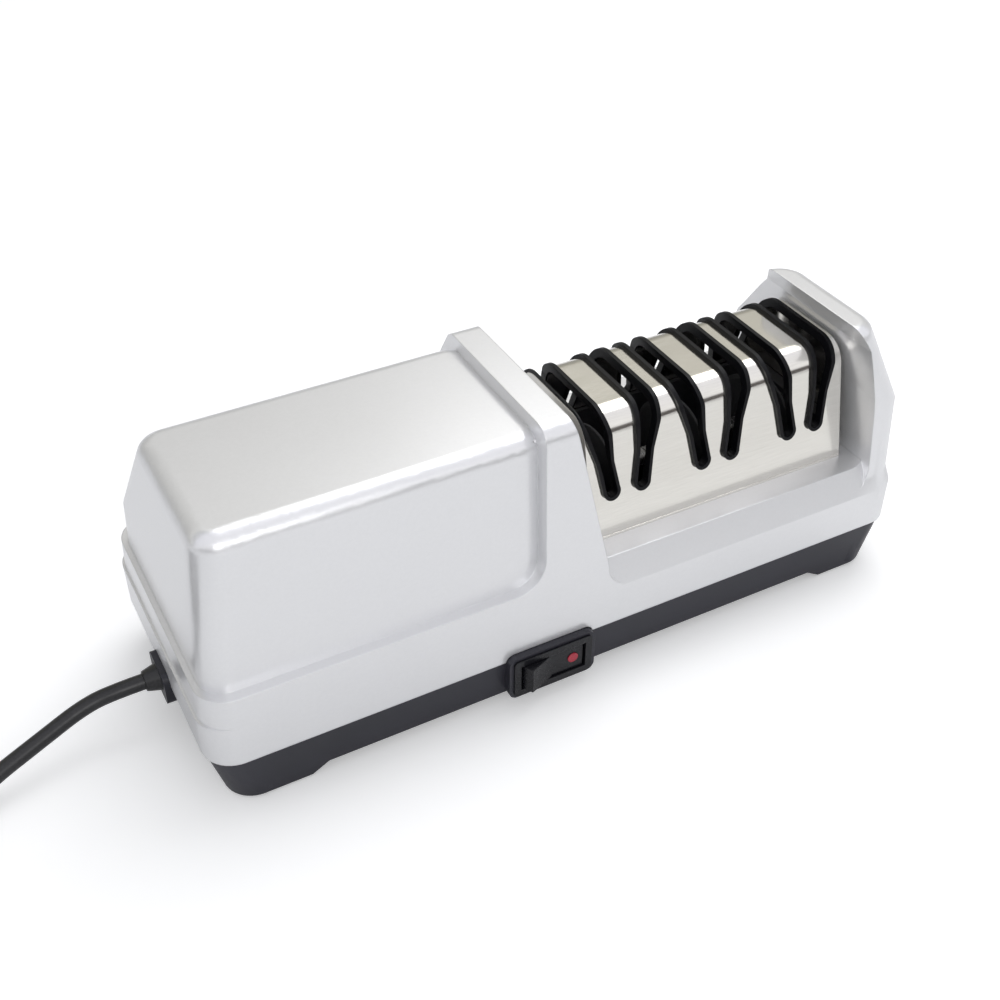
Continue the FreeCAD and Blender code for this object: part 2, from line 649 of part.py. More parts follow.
def guide_outline(side, stage, top_width, tip_width, lift):
    """The outline of a guide or its slot seen from the front, drawn through the module."""
    tip_radius = tip_width / 2
    tip_centre_z = guide_tip_z + guide_tip_width / 2
    slope = (guide_top_offset - guide_tip_offset) / (module_top - tip_centre_z)
    middle = stage_x + stage * stage_pitch

    def centre(z):
        return middle + side * (guide_tip_offset + slope * (z - tip_centre_z))

    top_z = module_top + lift
    heights = [(tip_centre_z, tip_radius), (guide_neck_z, tip_radius), (guide_wide_z, top_width / 2),
               (module_top, top_width / 2)]
    left = [(centre(z) - half, z) for z, half in heights] + [(centre(module_top) - top_width / 2, top_z)]
    right = [(centre(z) + half, z) for z, half in heights] + [(centre(module_top) + top_width / 2, top_z)]
    body = prism_y(left + right[::-1], module_front - past, module_back + past)
    tip = Part.makeCylinder(tip_radius, module_back - module_front + 2 * past,
                            Vector(centre(tip_centre_z), module_front - past, tip_centre_z),
                            Vector(0, 1, 0))
    return body.fuse(tip)


guide_numbers = [(stage, side) for stage in (-1, 0, 1) for side in (-1, 1)]
neck_wall = 0.8


def make_module_cover():
    outer = cover_section(0, module_left, module_right, lower_z)
    inner = cover_section(-cover_sheet, module_left + cover_sheet, module_right - cover_sheet, shelf_z - 1)
    flange = box(module_left, module_right, module_front, module_back, shelf_z, lower_z)
    shell = outer.fuse(flange).cut(inner)
    for stage, side in guide_numbers:
        shell = shell.cut(guide_outline(side, stage, slot_top_width + 2 * neck_wall,
                                        slot_tip_width + 2 * neck_wall, 2 * corner_radius))
    bearing_room = rod_x(bearing_outer_disc / 2 + 1.5, module_left - 1, module_left + 2 * cover_sheet)
    return shell.cut(bearing_room)


def make_blade_guide(stage, side):
    """A raised rim over the cover and a neck that lines its slot, with the knife slot through."""
    raised = cover_section(rim_rise, module_left, module_right, shelf_z).cut(
        cover_section(0, module_left - 1, module_right + 1, shelf_z - 1))
    lining = cover_section(0, module_left, module_right, shelf_z).cut(
        cover_section(-guide_depth, module_left - 1, module_right + 1, shelf_z - 1))
    rim = raised.common(guide_outline(side, stage, guide_top_width, guide_tip_width, past))
    neck = lining.common(guide_outline(side, stage, slot_top_width + 2 * neck_wall - 2 * bearing_fit,
                                       slot_tip_width + 2 * neck_wall - 2 * bearing_fit, past))
    slot = guide_outline(side, stage, slot_top_width, slot_tip_width, past)
    return rim.fuse(neck).cut(slot).removeSplitter()


placed("module_cover", make_module_cover())
for number, (stage, side) in enumerate(guide_numbers, start=1):
    placed("blade_guide_%d" % number, make_blade_guide(stage, side))

# Module frame: an open tub that hangs in the shelf and carries both shaft bearings
frame_skirt = 6.0
boss_outer = bearing_outer_disc / 2 + 3.0


def make_module_frame():
    inner_gap = cover_sheet + running
    left = module_left + inner_gap
    right = module_right - inner_gap
    body = box(opening_left + running, opening_right - running, opening_front + running,
               opening_back - running, shelf_z - frame_skirt, shelf_z)
    body = body.fuse(cover_section(-inner_gap, left, right, shelf_z))
    room = box(left + bearing_disc_width, right - bearing_disc_width,
               opening_front + running + frame_wall, opening_back - running - frame_wall, 0, band_z)
    body = body.cut([room, box(left - 1, right + 1, module_front - past, module_back + past,
                               frame_top_z, band_z + 1)])
    return body


frame_top_z = axis_z + boss_outer
frame = make_module_frame()
for x in (module_left + cover_sheet + running, module_right - cover_sheet - running - bearing_disc_width):
    frame = frame.cut(rod_x(bearing_outer_disc / 2, x - 1, x + bearing_disc_width + 1))
placed("module_frame", frame)


def bearing(label, outer, bore, wide, at_x):
    """A bearing ring seated on the shaft line."""
    ring = bound_rod(label + "_ring", outer, wide, at_x)
    hole = bound_rod(label + "_bore", bore, wide, at_x)
    return joined(label, "Part::Cut", ring, hole)


size("bearing_disc_outer", bearing_outer_disc, "outer diameter of the disc shaft's bearings")
size("bearing_disc_width", bearing_disc_width, "width of the disc shaft's bearings")
left_seat = "Sizes.module_left + Sizes.cover_sheet + Sizes.running"
right_seat = "Sizes.module_right - Sizes.cover_sheet - Sizes.running - Sizes.bearing_disc_width"
shaft_bore = "Sizes.disc_shaft_diameter / 2 + Sizes.bearing_fit"
bearing("left_shaft_bearing", "Sizes.bearing_disc_outer / 2", shaft_bore, named("bearing_disc_width"),
        left_seat)
bearing("right_shaft_bearing", "Sizes.bearing_disc_outer / 2", shaft_bore, named("bearing_disc_width"),
        right_seat)

# Disc shaft with two flats along the discs
size("shaft_step", 1.0, "gap between a shaft's end and the far side of the spider")
size("shaft_end_gap", 0.5, "gap between the disc shaft and the far end of its bearing")
size("flat_gap", 0.4, "gap between a bearing and the flats of the disc shaft")


def make_disc_shaft():
    """A rod with a flat above and one below, all bound to the sheet."""
    far_seat = "Sizes.module_right - Sizes.cover_sheet - Sizes.running"
    start = "(Sizes.coupling_x + Sizes.spider_width / 2 + Sizes.shaft_step)"
    rod = bound_rod("disc_shaft_rod", "Sizes.disc_shaft_diameter / 2",
                    "%s - Sizes.shaft_end_gap - %s" % (far_seat, start), start)
    flat_start = "(%s + Sizes.bearing_disc_width + Sizes.flat_gap)" % left_seat
    flat_long = "%s - Sizes.flat_gap - %s" % (right_seat, flat_start)
    deep = named("disc_shaft_diameter")
    low_y = "Sizes.axis_y - Sizes.disc_shaft_diameter"
    above = bound_box("disc_shaft_flat_above", flat_long, "2 * " + deep, deep,
                      (flat_start, low_y, "Sizes.axis_z + Sizes.disc_shaft_flats / 2"))
    below = bound_box("disc_shaft_flat_below", flat_long, "2 * " + deep, deep,
                      (flat_start, low_y, "Sizes.axis_z - Sizes.disc_shaft_flats / 2 - " + deep))
    flats = joined("disc_shaft_flats", "Part::MultiFuse", above, below)
    return joined("disc_shaft", "Part::Cut", rod, flats)


make_disc_shaft()


def flatted_bore(x_from, x_to, gap):
    """The bore of whatever sits on the flats."""
    half = disc_shaft_flats / 2 + gap
    bar = box(x_from, x_to, axis_y - disc_shaft_diameter, axis_y + disc_shaft_diameter, axis_z - half,
              axis_z + half)
    return rod_x(disc_shaft_diameter / 2 + gap, x_from, x_to).common(bar)


disc_hub_radius = 8.0
disc_cone = 1.2
stop_width = 1.6
stop_radius = 6.5


def make_abrasive_disc(stage, side):
    """A dished disc whose outer face meets the blade, with a short hub towards its spring."""
    middle = stage_x + stage * stage_pitch
    radius = disc_diameter / 2
    face = middle + side * disc_face
    inward = -side
    profile = [(face + inward * disc_cone, 0), (face + inward * disc_cone, disc_hub_radius),
               (face, disc_hub_radius + 2), (face, radius - 2),
               (face + inward * disc_plate / 3, radius), (face + inward * disc_plate, radius),
               (face + inward * disc_hub, disc_hub_radius + 2), (face + inward * disc_hub, 0)]
    wire = Part.makePolygon([Vector(x, axis_y, axis_z + r) for x, r in profile + profile[:1]])
    turned_disc = Part.Face(wire).revolve(Vector(middle, axis_y, axis_z), Vector(1, 0, 0), 360)
    low = min(face, face + inward * disc_hub) - 1
    return turned_disc.cut(flatted_bore(low, low + disc_hub + 2, bearing_fit))


for number, (stage, side) in enumerate(guide_numbers, start=1):
    placed("abrasive_disc_%d" % number, make_abrasive_disc(stage, side))


def make_stop_rings():
    """Six rings on the shaft that the springs press the discs against."""
    rings = []
    for stage, side in guide_numbers:
        near = stage_x + stage * stage_pitch + side * (disc_face - disc_cone)
        start = min(near, near + side * stop_width)
        ring = rod_x(stop_radius, start, start + stop_width)
        rings.append(ring.cut(flatted_bore(start - 1, start + stop_width + 1, 0.0)))
    return Part.makeCompound(rings)


placed("disc_stop_rings", make_stop_rings())


def helix_tube(wire_radius, coil_radius, turns, x_from, x_to):
    """An open spring along the shaft line, swept in half turns."""
    pieces = int(turns * 2)
    step = (x_to - x_from) / pieces
    points = []
    for index in range(pieces * 2 + 1):
        angle = math.pi * index / 2
        points.append(Vector(x_from + step * index / 2, axis_y + coil_radius * math.cos(angle),
                             axis_z + coil_radius * math.sin(angle)))
    edges = []
    for index in range(0, pieces * 2, 2):
        edges.append(Part.Arc(points[index], points[index + 1], points[index + 2]).toShape())
    path = Part.Wire(edges)
    tangent = edges[0].tangentAt(edges[0].FirstParameter)
    circle = Part.Wire([Part.Circle(points[0], tangent, wire_radius).toShape()])
    shell = Part.BRepOffsetAPI.MakePipeShell(path)
    shell.add(circle)
    shell.build()
    shell.makeSolid()
    return shell.shape()


def make_disc_spring(stage):
    middle = stage_x + stage * stage_pitch
    half = disc_face - disc_hub - spring_wire / 2 - 0.25
    tube = helix_tube(spring_wire / 2, spring_diameter / 2, spring_turns, middle - half, middle + half)
    pitch = 2 * half / spring_turns
    print("disc spring gap between turns", round(pitch - spring_wire, 3), "valid", tube.isValid())
    return tube


for number, stage in enumerate((-1, 0, 1), start=1):
    placed("disc_spring_%d" % number, make_disc_spring(stage))

# Motor: square stator between two end bells, with the rotor and fan on its shaft
bore_radius = rotor_diameter / 2 + air_gap
bell_hole_radius = 6.0
bell_hole_ring = half_stator - 14.0
bolt_radius = 2.0
bolt_place = half_stator - 7.0
winding_outer = half_stator - 9.0


def bolt_places():
    return [(axis_y + sy * bolt_place, axis_z + sz * bolt_place) for sy in (-1, 1) for sz in (-1, 1)]


def make_stator_core():
    core = soft_box(stack_from, stack_to, axis_y - half_stator, axis_y + half_stator,
                    axis_z - half_stator, axis_z + half_stator, 8.0, "x")
    holes = [rod_x(bore_radius, stack_from - 1, stack_to + 1)]
    holes += [rod_x(bolt_radius + running / 2, stack_from - 1, stack_to + 1, y, z) for y, z in bolt_places()]
    return core.cut(holes)


def make_stator_windings():
    """The two rings of wire that stand out of the stack's faces."""
    rings = []
    for start, stop in ((stack_from - winding_length, stack_from), (stack_to, stack_to + winding_length)):
        ring = rod_x(winding_outer, start, stop).cut(rod_x(bore_radius + 2.0, start - 1, stop + 1))
        edges = [e for e in ring.Edges if len(e.Vertexes) == 1
                 and abs(e.BoundBox.XMin - (start if start < stack_from else stop)) < 1e-4]
        rings.append(ring.makeFillet(2.5, edges))
    return Part.makeCompound(rings)


def make_end_bell(side):
    """A cast plate with a bearing seat, four pillars to the stack and two feet."""
    plate_from = bell_front_x if side > 0 else bell_rear_x - bell_plate
    plate_to = plate_from + bell_plate
    stack_face = stack_to if side > 0 else stack_from
    plate = soft_box(plate_from, plate_to, axis_y - half_stator, axis_y + half_stator,
                     axis_z - half_stator, axis_z + half_stator, 8.0, "x")
    near = min(stack_face, plate_from)
    far = max(stack_face, plate_to)
    pillars = [rod_x(bolt_radius + 3.0, near, far, y, z) for y, z in bolt_places()]
    seat_from = plate_from if side > 0 else plate_to - bearing_width
    seat = rod_x(bearing_outer / 2 + 3.0, min(plate_from, seat_from), max(plate_to, seat_from + bearing_width))
    foot_from = plate_to if side > 0 else plate_from - foot_length
    foot_rest = plate_from if side > 0 else plate_from - foot_length
    low_y = axis_y - half_stator + 2
    high_y = axis_y + half_stator - 2
    foot = box(foot_rest, foot_rest + foot_length + bell_plate, low_y, high_y, motor_foot_z, foot_top_z)
    web = box(plate_from, plate_to, low_y, high_y, motor_foot_z, axis_z - half_stator + 9.0)
    body = plate.fuse(pillars + [seat, foot, web])
    cuts = [rod_x(bearing_outer / 2, seat_from, seat_from + bearing_width)]
    cuts.append(rod_x(motor_shaft_diameter / 2 + 1.5, near - 2 * foot_length, far + 2 * foot_length))
    cuts += [rod_x(bolt_radius + running / 2, near - 1, far + 1, y, z) for y, z in bolt_places()]
    middle_x = foot_from + foot_length / 2
    for sign in (-1, 1):
        cuts.append(rod_z(foot_screw_radius + running, middle_x, axis_y + sign * motor_foot_y, 0, axis_z))
    for angle in range(0, 360, 60):
        y = axis_y + bell_hole_ring * math.cos(math.radians(angle))
        z = axis_z + bell_hole_ring * math.sin(math.radians(angle))
        cuts.append(rod_x(bell_hole_radius, plate_from - 0.5, plate_to + 0.5, y, z))
    return body.cut(cuts)


placed("stator_core", make_stator_core())
placed("stator_windings", make_stator_windings())
placed("front_end_bell", make_end_bell(1))
placed("rear_end_bell", make_end_bell(-1))
stack_start = "(Sizes.right_end - Sizes.length + Sizes.motor_rear_room)"
stack_stop = "(Sizes.coupling_x - Sizes.motor_front_room)"
motor_bore = "Sizes.motor_shaft_diameter / 2 + Sizes.bearing_fit"
bearing("front_motor_bearing", "Sizes.bearing_outer / 2", motor_bore, named("bearing_width"),
        stack_stop + " + Sizes.winding_length + Sizes.bell_gap")
bearing("rear_motor_bearing", "Sizes.bearing_outer / 2", motor_bore, named("bearing_width"),
        stack_start + " - Sizes.winding_length - Sizes.bell_gap - Sizes.bearing_width")

stack_long = "%s - %s" % (stack_stop, stack_start)
rotor_ring = bound_rod("rotor_ring", "Sizes.width / 2 - Sizes.stator_room - Sizes.rotor_cover", stack_long,
                       stack_start)
rotor_bore = bound_rod("rotor_bore", "Sizes.motor_shaft_diameter / 2", stack_long, stack_start)
joined("rotor_core", "Part::Cut", rotor_ring, rotor_bore)
fan_gap = size("fan_gap", 4.0, "gap between the rear end bell and the fan")
shaft_tail = size("shaft_tail", 2.0, "how far the motor shaft passes the fan")
fan_far = bell_rear_x - bell_plate - fan_gap - fan_width
shaft_start = ("(%s - Sizes.winding_length - Sizes.bell_gap - Sizes.bell_plate - Sizes.fan_gap"
               " - Sizes.fan_width - Sizes.shaft_tail)" % stack_start)
bound_rod("motor_shaft", "Sizes.motor_shaft_diameter / 2",
          "Sizes.coupling_x - Sizes.spider_width / 2 - Sizes.shaft_step - " + shaft_start, shaft_start)


def make_cooling_fan():
    """A hub and disc with pitched blades."""
    start = fan_far
    hub_radius = 10.0
    back_plate = 1.6
    fan = rod_x(hub_radius, start, start + fan_width).fuse(
        rod_x(fan_diameter / 2, start + fan_width - back_plate, start + fan_width))
    blade_thick = 1.6
    reach = fan_diameter / 2 - hub_radius + 1
    for index in range(int(fan_blades)):
        blade = Part.makeBox(fan_width - 1, blade_thick, reach, Vector(start + 1, axis_y - blade_thick / 2,
                                                                      axis_z + hub_radius - 1))
        blade = blade.common(rod_x(fan_diameter / 2, start, start + fan_width))
        blade.rotate(Vector(start, axis_y, axis_z), Vector(1, 0, 0), index * 360.0 / fan_blades)
        fan = fan.fuse(blade)
    return fan.cut(rod_x(motor_shaft_diameter / 2, start - 1, start + fan_width + 1))


placed("cooling_fan", make_cooling_fan())


def make_through_bolts():
    bolts = []
    start = bell_rear_x - bell_plate
    stop = bell_front_x + bell_plate
    head = 2.6
    for y, z in bolt_places():
        shank = rod_x(bolt_radius, start - 3.0, stop, y, z)
        bolts.append(shank.fuse([rod_x(3.6, stop, stop + head, y, z),
                                 rod_x(3.4, start - 2.6, start, y, z)]))
    return Part.makeCompound(bolts)


def make_motor_foot_screws():
    return Part.makeCompound([
        rod_z(foot_screw_radius, x, y, motor_foot_z - foot_screw_length + 1.5, foot_top_z).fuse(
            rod_z(2.8, x, y, foot_top_z, foot_top_z + 2.0)) for x, y in motor_foot_places()])


def make_base_screws():
    length_in = 20.0
    return Part.makeCompound([
        rod_z(screw_radius, x, y, screw_seat_z - 0.5, seam_z + length_in).fuse(
            rod_z(screw_head_radius, x, y, screw_seat_z - 2.6, screw_seat_z)) for x, y in post_places])


placed("motor_through_bolts", make_through_bolts())
placed("motor_foot_screws", make_motor_foot_screws())
placed("base_screws", make_base_screws())

# Coupling: two jawed hubs with a rubber spider between
jaw_count = 3


def make_coupling_half(side, bore):
    start = coupling_x + side * spider_width / 2
    stop = start + side * coupling_hub
    low = min(start, stop)
    hub = rod_x(coupling_diameter / 2 - 3, low, low + coupling_hub).fuse(
        rod_x(coupling_diameter / 2, low if side > 0 else low + coupling_hub - 4,
              low + 4 if side > 0 else low + coupling_hub))
    jaws = []
    tooth_from = coupling_x - spider_width / 2 + running if side > 0 else start - 0.01
    tooth_to = start + 0.01 if side > 0 else coupling_x + spider_width / 2 - running
    for index in range(jaw_count):
        angle = 360.0 * index / jaw_count + (60 if side > 0 else 0)
        tooth = box(tooth_from, tooth_to, axis_y - 2.6, axis_y + 2.6, axis_z + 6.5,
                    axis_z + coupling_diameter / 2 - 0.6)
        tooth.rotate(Vector(0, axis_y, axis_z), Vector(1, 0, 0), angle)
        jaws.append(tooth)
    return hub.fuse(jaws).cut(rod_x(bore, low - 5, low + coupling_hub + 5))


def make_spider():
    ring = rod_x(coupling_diameter / 2 - 0.6, coupling_x - spider_width / 2 + running,
                 coupling_x + spider_width / 2 - running)
    cuts = [rod_x(motor_shaft_diameter / 2 + 1.0, coupling_x - spider_width, coupling_x + spider_width)]
    for index in range(2 * jaw_count):
        tooth = box(coupling_x - spider_width, coupling_x + spider_width, axis_y - 2.6 - running,
                    axis_y + 2.6 + running, axis_z + 6.5 - running, axis_z + coupling_diameter)
        tooth.rotate(Vector(0, axis_y, axis_z), Vector(1, 0, 0), index * 60.0)
        cuts.append(tooth)
    return ring.cut(cuts)


placed("motor_coupling_half", make_coupling_half(-1, motor_shaft_diameter / 2))
placed("disc_coupling_half", make_coupling_half(1, disc_shaft_diameter / 2))
placed("coupling_spider", make_spider())

# Switch terminals, strain relief and the leads inside
terminal_y = boss_front + switch_depth
tab_length = 7.0


def make_switch_terminals():
    return Part.makeCompound([
        box(switch_x + offset - 0.4, switch_x + offset + 0.4, terminal_y, terminal_y + tab_length,
            switch_z - 3.0, switch_z + 3.0) for offset in (-9.0, 0.0, 9.0)])


def make_strain_relief():
    """A bushing through the cord boss, with a flange inside the base and a tapered sleeve outside."""
    inner_end = gland_end + gland_reach
    sleeve = rod_x(gland_radius, gland_end, inner_end, cord_y, cord_z)
    flange = rod_x(gland_radius + relief_flange, inner_end, inner_end + relief_flange, cord_y, cord_z)
    taper = Part.makeCone(relief_tip / 2, gland_radius, relief_stand,
                          Vector(gland_end - relief_stand, cord_y, cord_z), Vector(1, 0, 0))
    return sleeve.fuse([taper, flange])


gland_reach = outer_left + 3 * shell_wall - gland_end + 0.4
relief_flange = 2.0


def bend_path(points):
    """Straight runs joined by tangent arcs, each as large as its two runs allow."""
    share = 0.45
    edges = []
    radii = []
    start = points[0]
    for before, corner, after in zip(points, points[1:], points[2:]):
        into = corner.sub(before)
        out = after.sub(corner)
        run = min(into.Length, out.Length)
        turn = into.getAngle(out)
        back_off = share * run
        radius = back_off / math.tan(turn / 2)
        radii.append(round(radius, 1))
        first = corner.sub(Vector(into).normalize().multiply(back_off))
        last = corner.add(Vector(out).normalize().multiply(back_off))
        inward = first.add(last).multiply(0.5).sub(corner).normalize()
        middle = corner.add(inward.multiply(radius / math.cos(turn / 2) - radius))
        edges.append(Part.LineSegment(start, first).toShape())
        edges.append(Part.Arc(first, middle, last).toShape())
        start = last
    edges.append(Part.LineSegment(start, points[-1]).toShape())
    return Part.Wire(edges), radii


def tube_along(path, radius):
    """A tube swept along a path, closed at both ends."""
    first = path.OrderedEdges[0]
    start = first.valueAt(first.FirstParameter)
    toward = first.tangentAt(first.FirstParameter)
    section = Part.Wire([Part.Circle(start, toward, radius).toShape()])
    shell = Part.BRepOffsetAPI.MakePipeShell(path)
    shell.add(section)
    shell.build()
    shell.makeSolid()
    return shell.shape()


lead_radius = 1.2
block_x = outer_left + 14.0
block_y = half_width - 33.0
block_size = 12.0
block_long = 26.0


def make_terminal_block():
    body = box(block_x, block_x + block_size, block_y - block_long / 2, block_y + block_long / 2, floor_z,
               floor_z + block_size)
    holes = []
    for offset in (-8.0, 0.0, 8.0):
        holes.append(rod_z(2.0, block_x + block_size / 2, block_y + offset, floor_z + 5.0,
                           floor_z + block_size + 1))
    return body.cut(holes)


def make_supply_leads():
    """Two wires from the strain relief to the front of the terminal block."""
    tubes = []
    start_x = gland_end + gland_reach + relief_flange
    face_y = block_y - block_long / 2
    for offset, reach, along in ((-1.6, 8.1, 8.5), (1.6, 4.6, 3.5)):
        near_y = cord_y + offset
        end = Vector(block_x + along, face_y, floor_z + 4.0)
        points = [Vector(start_x, near_y, cord_z), Vector(start_x + reach, near_y, cord_z),
                  Vector(end.x, face_y - 9.0, end.z + 2.5), Vector(end.x, face_y - 3.5, end.z), end]
        path = bend_path(points)[0]
        tubes.append(tube_along(path, lead_radius))
    return Part.makeCompound(tubes)


def make_switch_leads():
    """Two wires from the terminal block along the back of the motor to the switch."""
    tubes = []
    low = floor_z + 2.5
    for offset, tab, lie in ((8.0, 9.0, 0.0), (0.0, -9.0, -7.0)):
        end = Vector(switch_x + tab, terminal_y + tab_length, switch_z)
        start = Vector(block_x + block_size, block_y + offset, floor_z + 4.0)
        points = [start, Vector(start.x + 14.0, start.y, start.z),
                  Vector(stator_x, block_y + 11.0 + lie, low),
                  Vector(end.x - 36.0, block_y + 11.0 + lie * 0.9, low),
                  Vector(end.x - 12.0 - lie, block_y + lie, low),
                  Vector(end.x - 1.0, 3.0, low + 1.5), Vector(end.x, end.y + 15.0, end.z), end]
        path = bend_path(points)[0]
        tubes.append(tube_along(path, lead_radius))
    return Part.makeCompound(tubes)


placed("switch_terminals", make_switch_terminals())
placed("strain_relief", make_strain_relief())
placed("terminal_block", make_terminal_block())
placed("supply_leads", make_supply_leads())
placed("switch_leads", make_switch_leads())

# Power cord: it leaves the left end level, sinks to the surface and runs into a tied coil
cord_radius = cord_diameter / 2
tie_sheet = 1.0
tie_width = 9.0
coil_low = cord_radius + tie_sheet + 2 * running
coil_gap = 1.8
coil_pitch = cord_diameter + coil_gap
coil_outer = 52.0
lower_half_turns = 5
upper_half_turns = 4
coil_centre = Vector(outer_left - 163.8, -7.3, coil_low)
coil_start_angle = -50.0
tail_radius = 60.0
tail_angle = -180.0
tie_turn = 78.0
# The route's points: distance from the left end of the housing, place across, height
cord_route = [(18.0, 1.0, 24.0), (33.0, 2.5, 21.0), (55.0, -3.8, 16.0), (77.0, -10.5, 11.5),
              (95.0, -19.3, 6.9), (111.2, -31.0, 4.7)]


def polar(centre, radius, degrees):
    angle = math.radians(degrees)
    return centre.add(Vector(radius * math.cos(angle), radius * math.sin(angle), 0))


def round_turn(degrees):
    """The direction of travel at an angle of the coil, which turns clockwise seen from above."""
    angle = math.radians(degrees)
    return Vector(math.sin(angle), -math.cos(angle), 0)


def two_arcs(start, start_way, stop, stop_way):
    """Two arcs that leave and arrive in given directions and meet smoothly."""
    gap = stop.sub(start)
    ways = start_way.add(stop_way)
    a = 2 * start_way.dot(stop_way) - 2
    b = -2 * gap.dot(ways)
    c = gap.dot(gap)
    reach = max((-b + sign * math.sqrt(b * b - 4 * a * c)) / (2 * a) for sign in (-1, 1))
    first_corner = start.add(Vector(start_way).multiply(reach))
    second_corner = stop.sub(Vector(stop_way).multiply(reach))
    meeting = first_corner.add(second_corner).multiply(0.5)
    return [arc_by_corner(start, first_corner, meeting), arc_by_corner(meeting, second_corner, stop)]


def arc_by_corner(start, corner, stop):
    """The arc between two points whose tangents meet in a corner."""
    chord_middle = start.add(stop).multiply(0.5)
    rise = corner.sub(chord_middle)
    half_chord = start.sub(stop).Length / 2
    sagitta = half_chord * math.tan(math.atan(rise.Length / half_chord) / 2)
    top = chord_middle.add(Vector(rise).normalize().multiply(sagitta))
    return Part.Arc(start, top, stop).toShape()


def coil_route():
    """In along the lower layer, up in the half turn at the middle, and out along the upper layer."""
    spots = []
    for index in range(lower_half_turns + 1):
        spots.append((coil_outer - coil_pitch / 2 * index, coil_start_angle - 180.0 * index, 0.0))
    inner, inner_angle, level = spots[-1]
    for index in range(upper_half_turns + 1):
        spots.append((inner + coil_pitch / 2 * index, inner_angle - 180.0 * (index + 1), coil_pitch))
    return spots


def make_coil_path():
    spots = coil_route()
    edges = []
    places = [polar(coil_centre, radius, angle).add(Vector(0, 0, level)) for radius, angle, level in spots]
    ways = [round_turn(angle) for radius, angle, level in spots]
    lead_in = places[0].sub(Vector(ways[0]).multiply(cord_diameter))
    edges.append(Part.LineSegment(lead_in, places[0]).toShape())
    for index in range(len(places) - 1):
        edges += two_arcs(places[index], ways[index], places[index + 1], ways[index + 1])
    tail_centre = polar(places[-1], -tail_radius, coil_start_angle)
    end = polar(tail_centre, tail_radius, tail_angle)
    end_way = round_turn(tail_angle)
    edges += two_arcs(places[-1], ways[-1], end, end_way)
    tail = end.add(Vector(end_way).multiply(2 * cord_diameter))
    edges.append(Part.LineSegment(end, tail).toShape())
    return edges, lead_in, ways[0], tail, end_way


def least_self_gap(edges, across):
    """The least gap between turns of a tube, measured on points along its middle line."""
    points = []
    travelled = 0.0
    for edge in edges:
        count = max(2, int(edge.Length / 2.0))
        for index in range(count):
            share = edge.FirstParameter + (edge.LastParameter - edge.FirstParameter) * index / count
            points.append((travelled + edge.Length * index / count, edge.valueAt(share)))
        travelled += edge.Length
    least = 1e9
    for index, (along, point) in enumerate(points):
        for other_along, other in points[index + 1:]:
            if other_along - along > 6 * across:
                least = min(least, point.sub(other).Length)
    return least - across, travelled


coil_edges, coil_entry, coil_way, coil_tail, tail_way = make_coil_path()
coil_gap_found, coil_length = least_self_gap(coil_edges, cord_diameter)
coil_tube = tube_along(Part.Wire(coil_edges), cord_radius)
print("coil least gap", round(coil_gap_found, 3), "length", round(coil_length, 1), "volume share",
      round(coil_tube.Volume / (math.pi * cord_radius ** 2 * coil_length), 4))

route_points = [Vector(gland_end - relief_stand, cord_y, cord_z)]
route_points += [Vector(outer_left - away, across, high) for away, across, high in cord_route]
route_points.append(coil_entry)
cord_path, cord_radii = bend_path(route_points)
cord_runs = [round(after.sub(before).Length, 1) for before, after in zip(route_points, route_points[1:])]
cord_tube = tube_along(cord_path, cord_radius)
print("cord radii", cord_radii, "runs", cord_runs, "length", round(cord_path.Length, 1), "volume share",
      round(cord_tube.Volume / (math.pi * cord_radius ** 2 * cord_path.Length), 4))
placed("power_cord", cord_tube)
placed("cord_coil", coil_tube)


def make_coil_tie():
    """A strap round both layers of the coil."""
    inmost = coil_outer - coil_pitch / 2 * lower_half_turns
    inner = inmost - cord_radius - 2 * running
    outer = (inmost + coil_pitch / 2 * upper_half_turns - coil_pitch * tie_turn / 360.0 + cord_radius
             + 2 * running)
    low = running
    high = coil_low + coil_pitch + cord_radius + 2 * running + tie_sheet
    strap = box(inner - tie_sheet, outer + tie_sheet, -tie_width / 2, tie_width / 2, low, high).cut(
        box(inner, outer, -tie_width, tie_width, low + tie_sheet, high - tie_sheet))
    strap.Placement = FreeCAD.Placement(Vector(coil_centre.x, coil_centre.y, 0),
                                        FreeCAD.Rotation(Vector(0, 0, 1), coil_start_angle + tie_turn))
    return strap


plug_nose = 18.0
plug_long = 34.0
plug_wide = 25.0
plug_tall = 2 * (coil_low + coil_pitch) - 2 * running
pin_long = 18.0


def toward_plug(shape):
    """Turns a shape drawn along X so that it lies behind the tail of the coil."""
    heading = math.degrees(math.atan2(tail_way.y, tail_way.x))
    shape.Placement = FreeCAD.Placement(coil_tail, FreeCAD.Rotation(Vector(0, 0, 1), heading))
    return shape


def make_plug_body():
    nose = Part.makeCone(cord_radius + 1.0, cord_radius + 3.2, plug_nose, Vector(0, 0, 0), Vector(1, 0, 0))
    body = soft_box(plug_nose - 1.0, plug_nose + plug_long, -plug_wide / 2, plug_wide / 2, -plug_tall / 2,
                    plug_tall / 2, 4.0, "x")
    return toward_plug(nose.fuse(body))


def make_plug_pins():
    face = plug_nose + plug_long
    blades = [box(face, face + pin_long, side * 6.35 - 0.75, side * 6.35 + 0.75, -0.5, 5.8)
              for side in (-1, 1)]
    earth = Part.makeCylinder(2.4, pin_long + 3.0, Vector(face, 0, -plug_tall / 2 + 5.0), Vector(1, 0, 0))
    return toward_plug(Part.makeCompound(blades + [earth]))


placed("coil_tie", make_coil_tie())
placed("plug_body", make_plug_body())
placed("plug_pins", make_plug_pins())

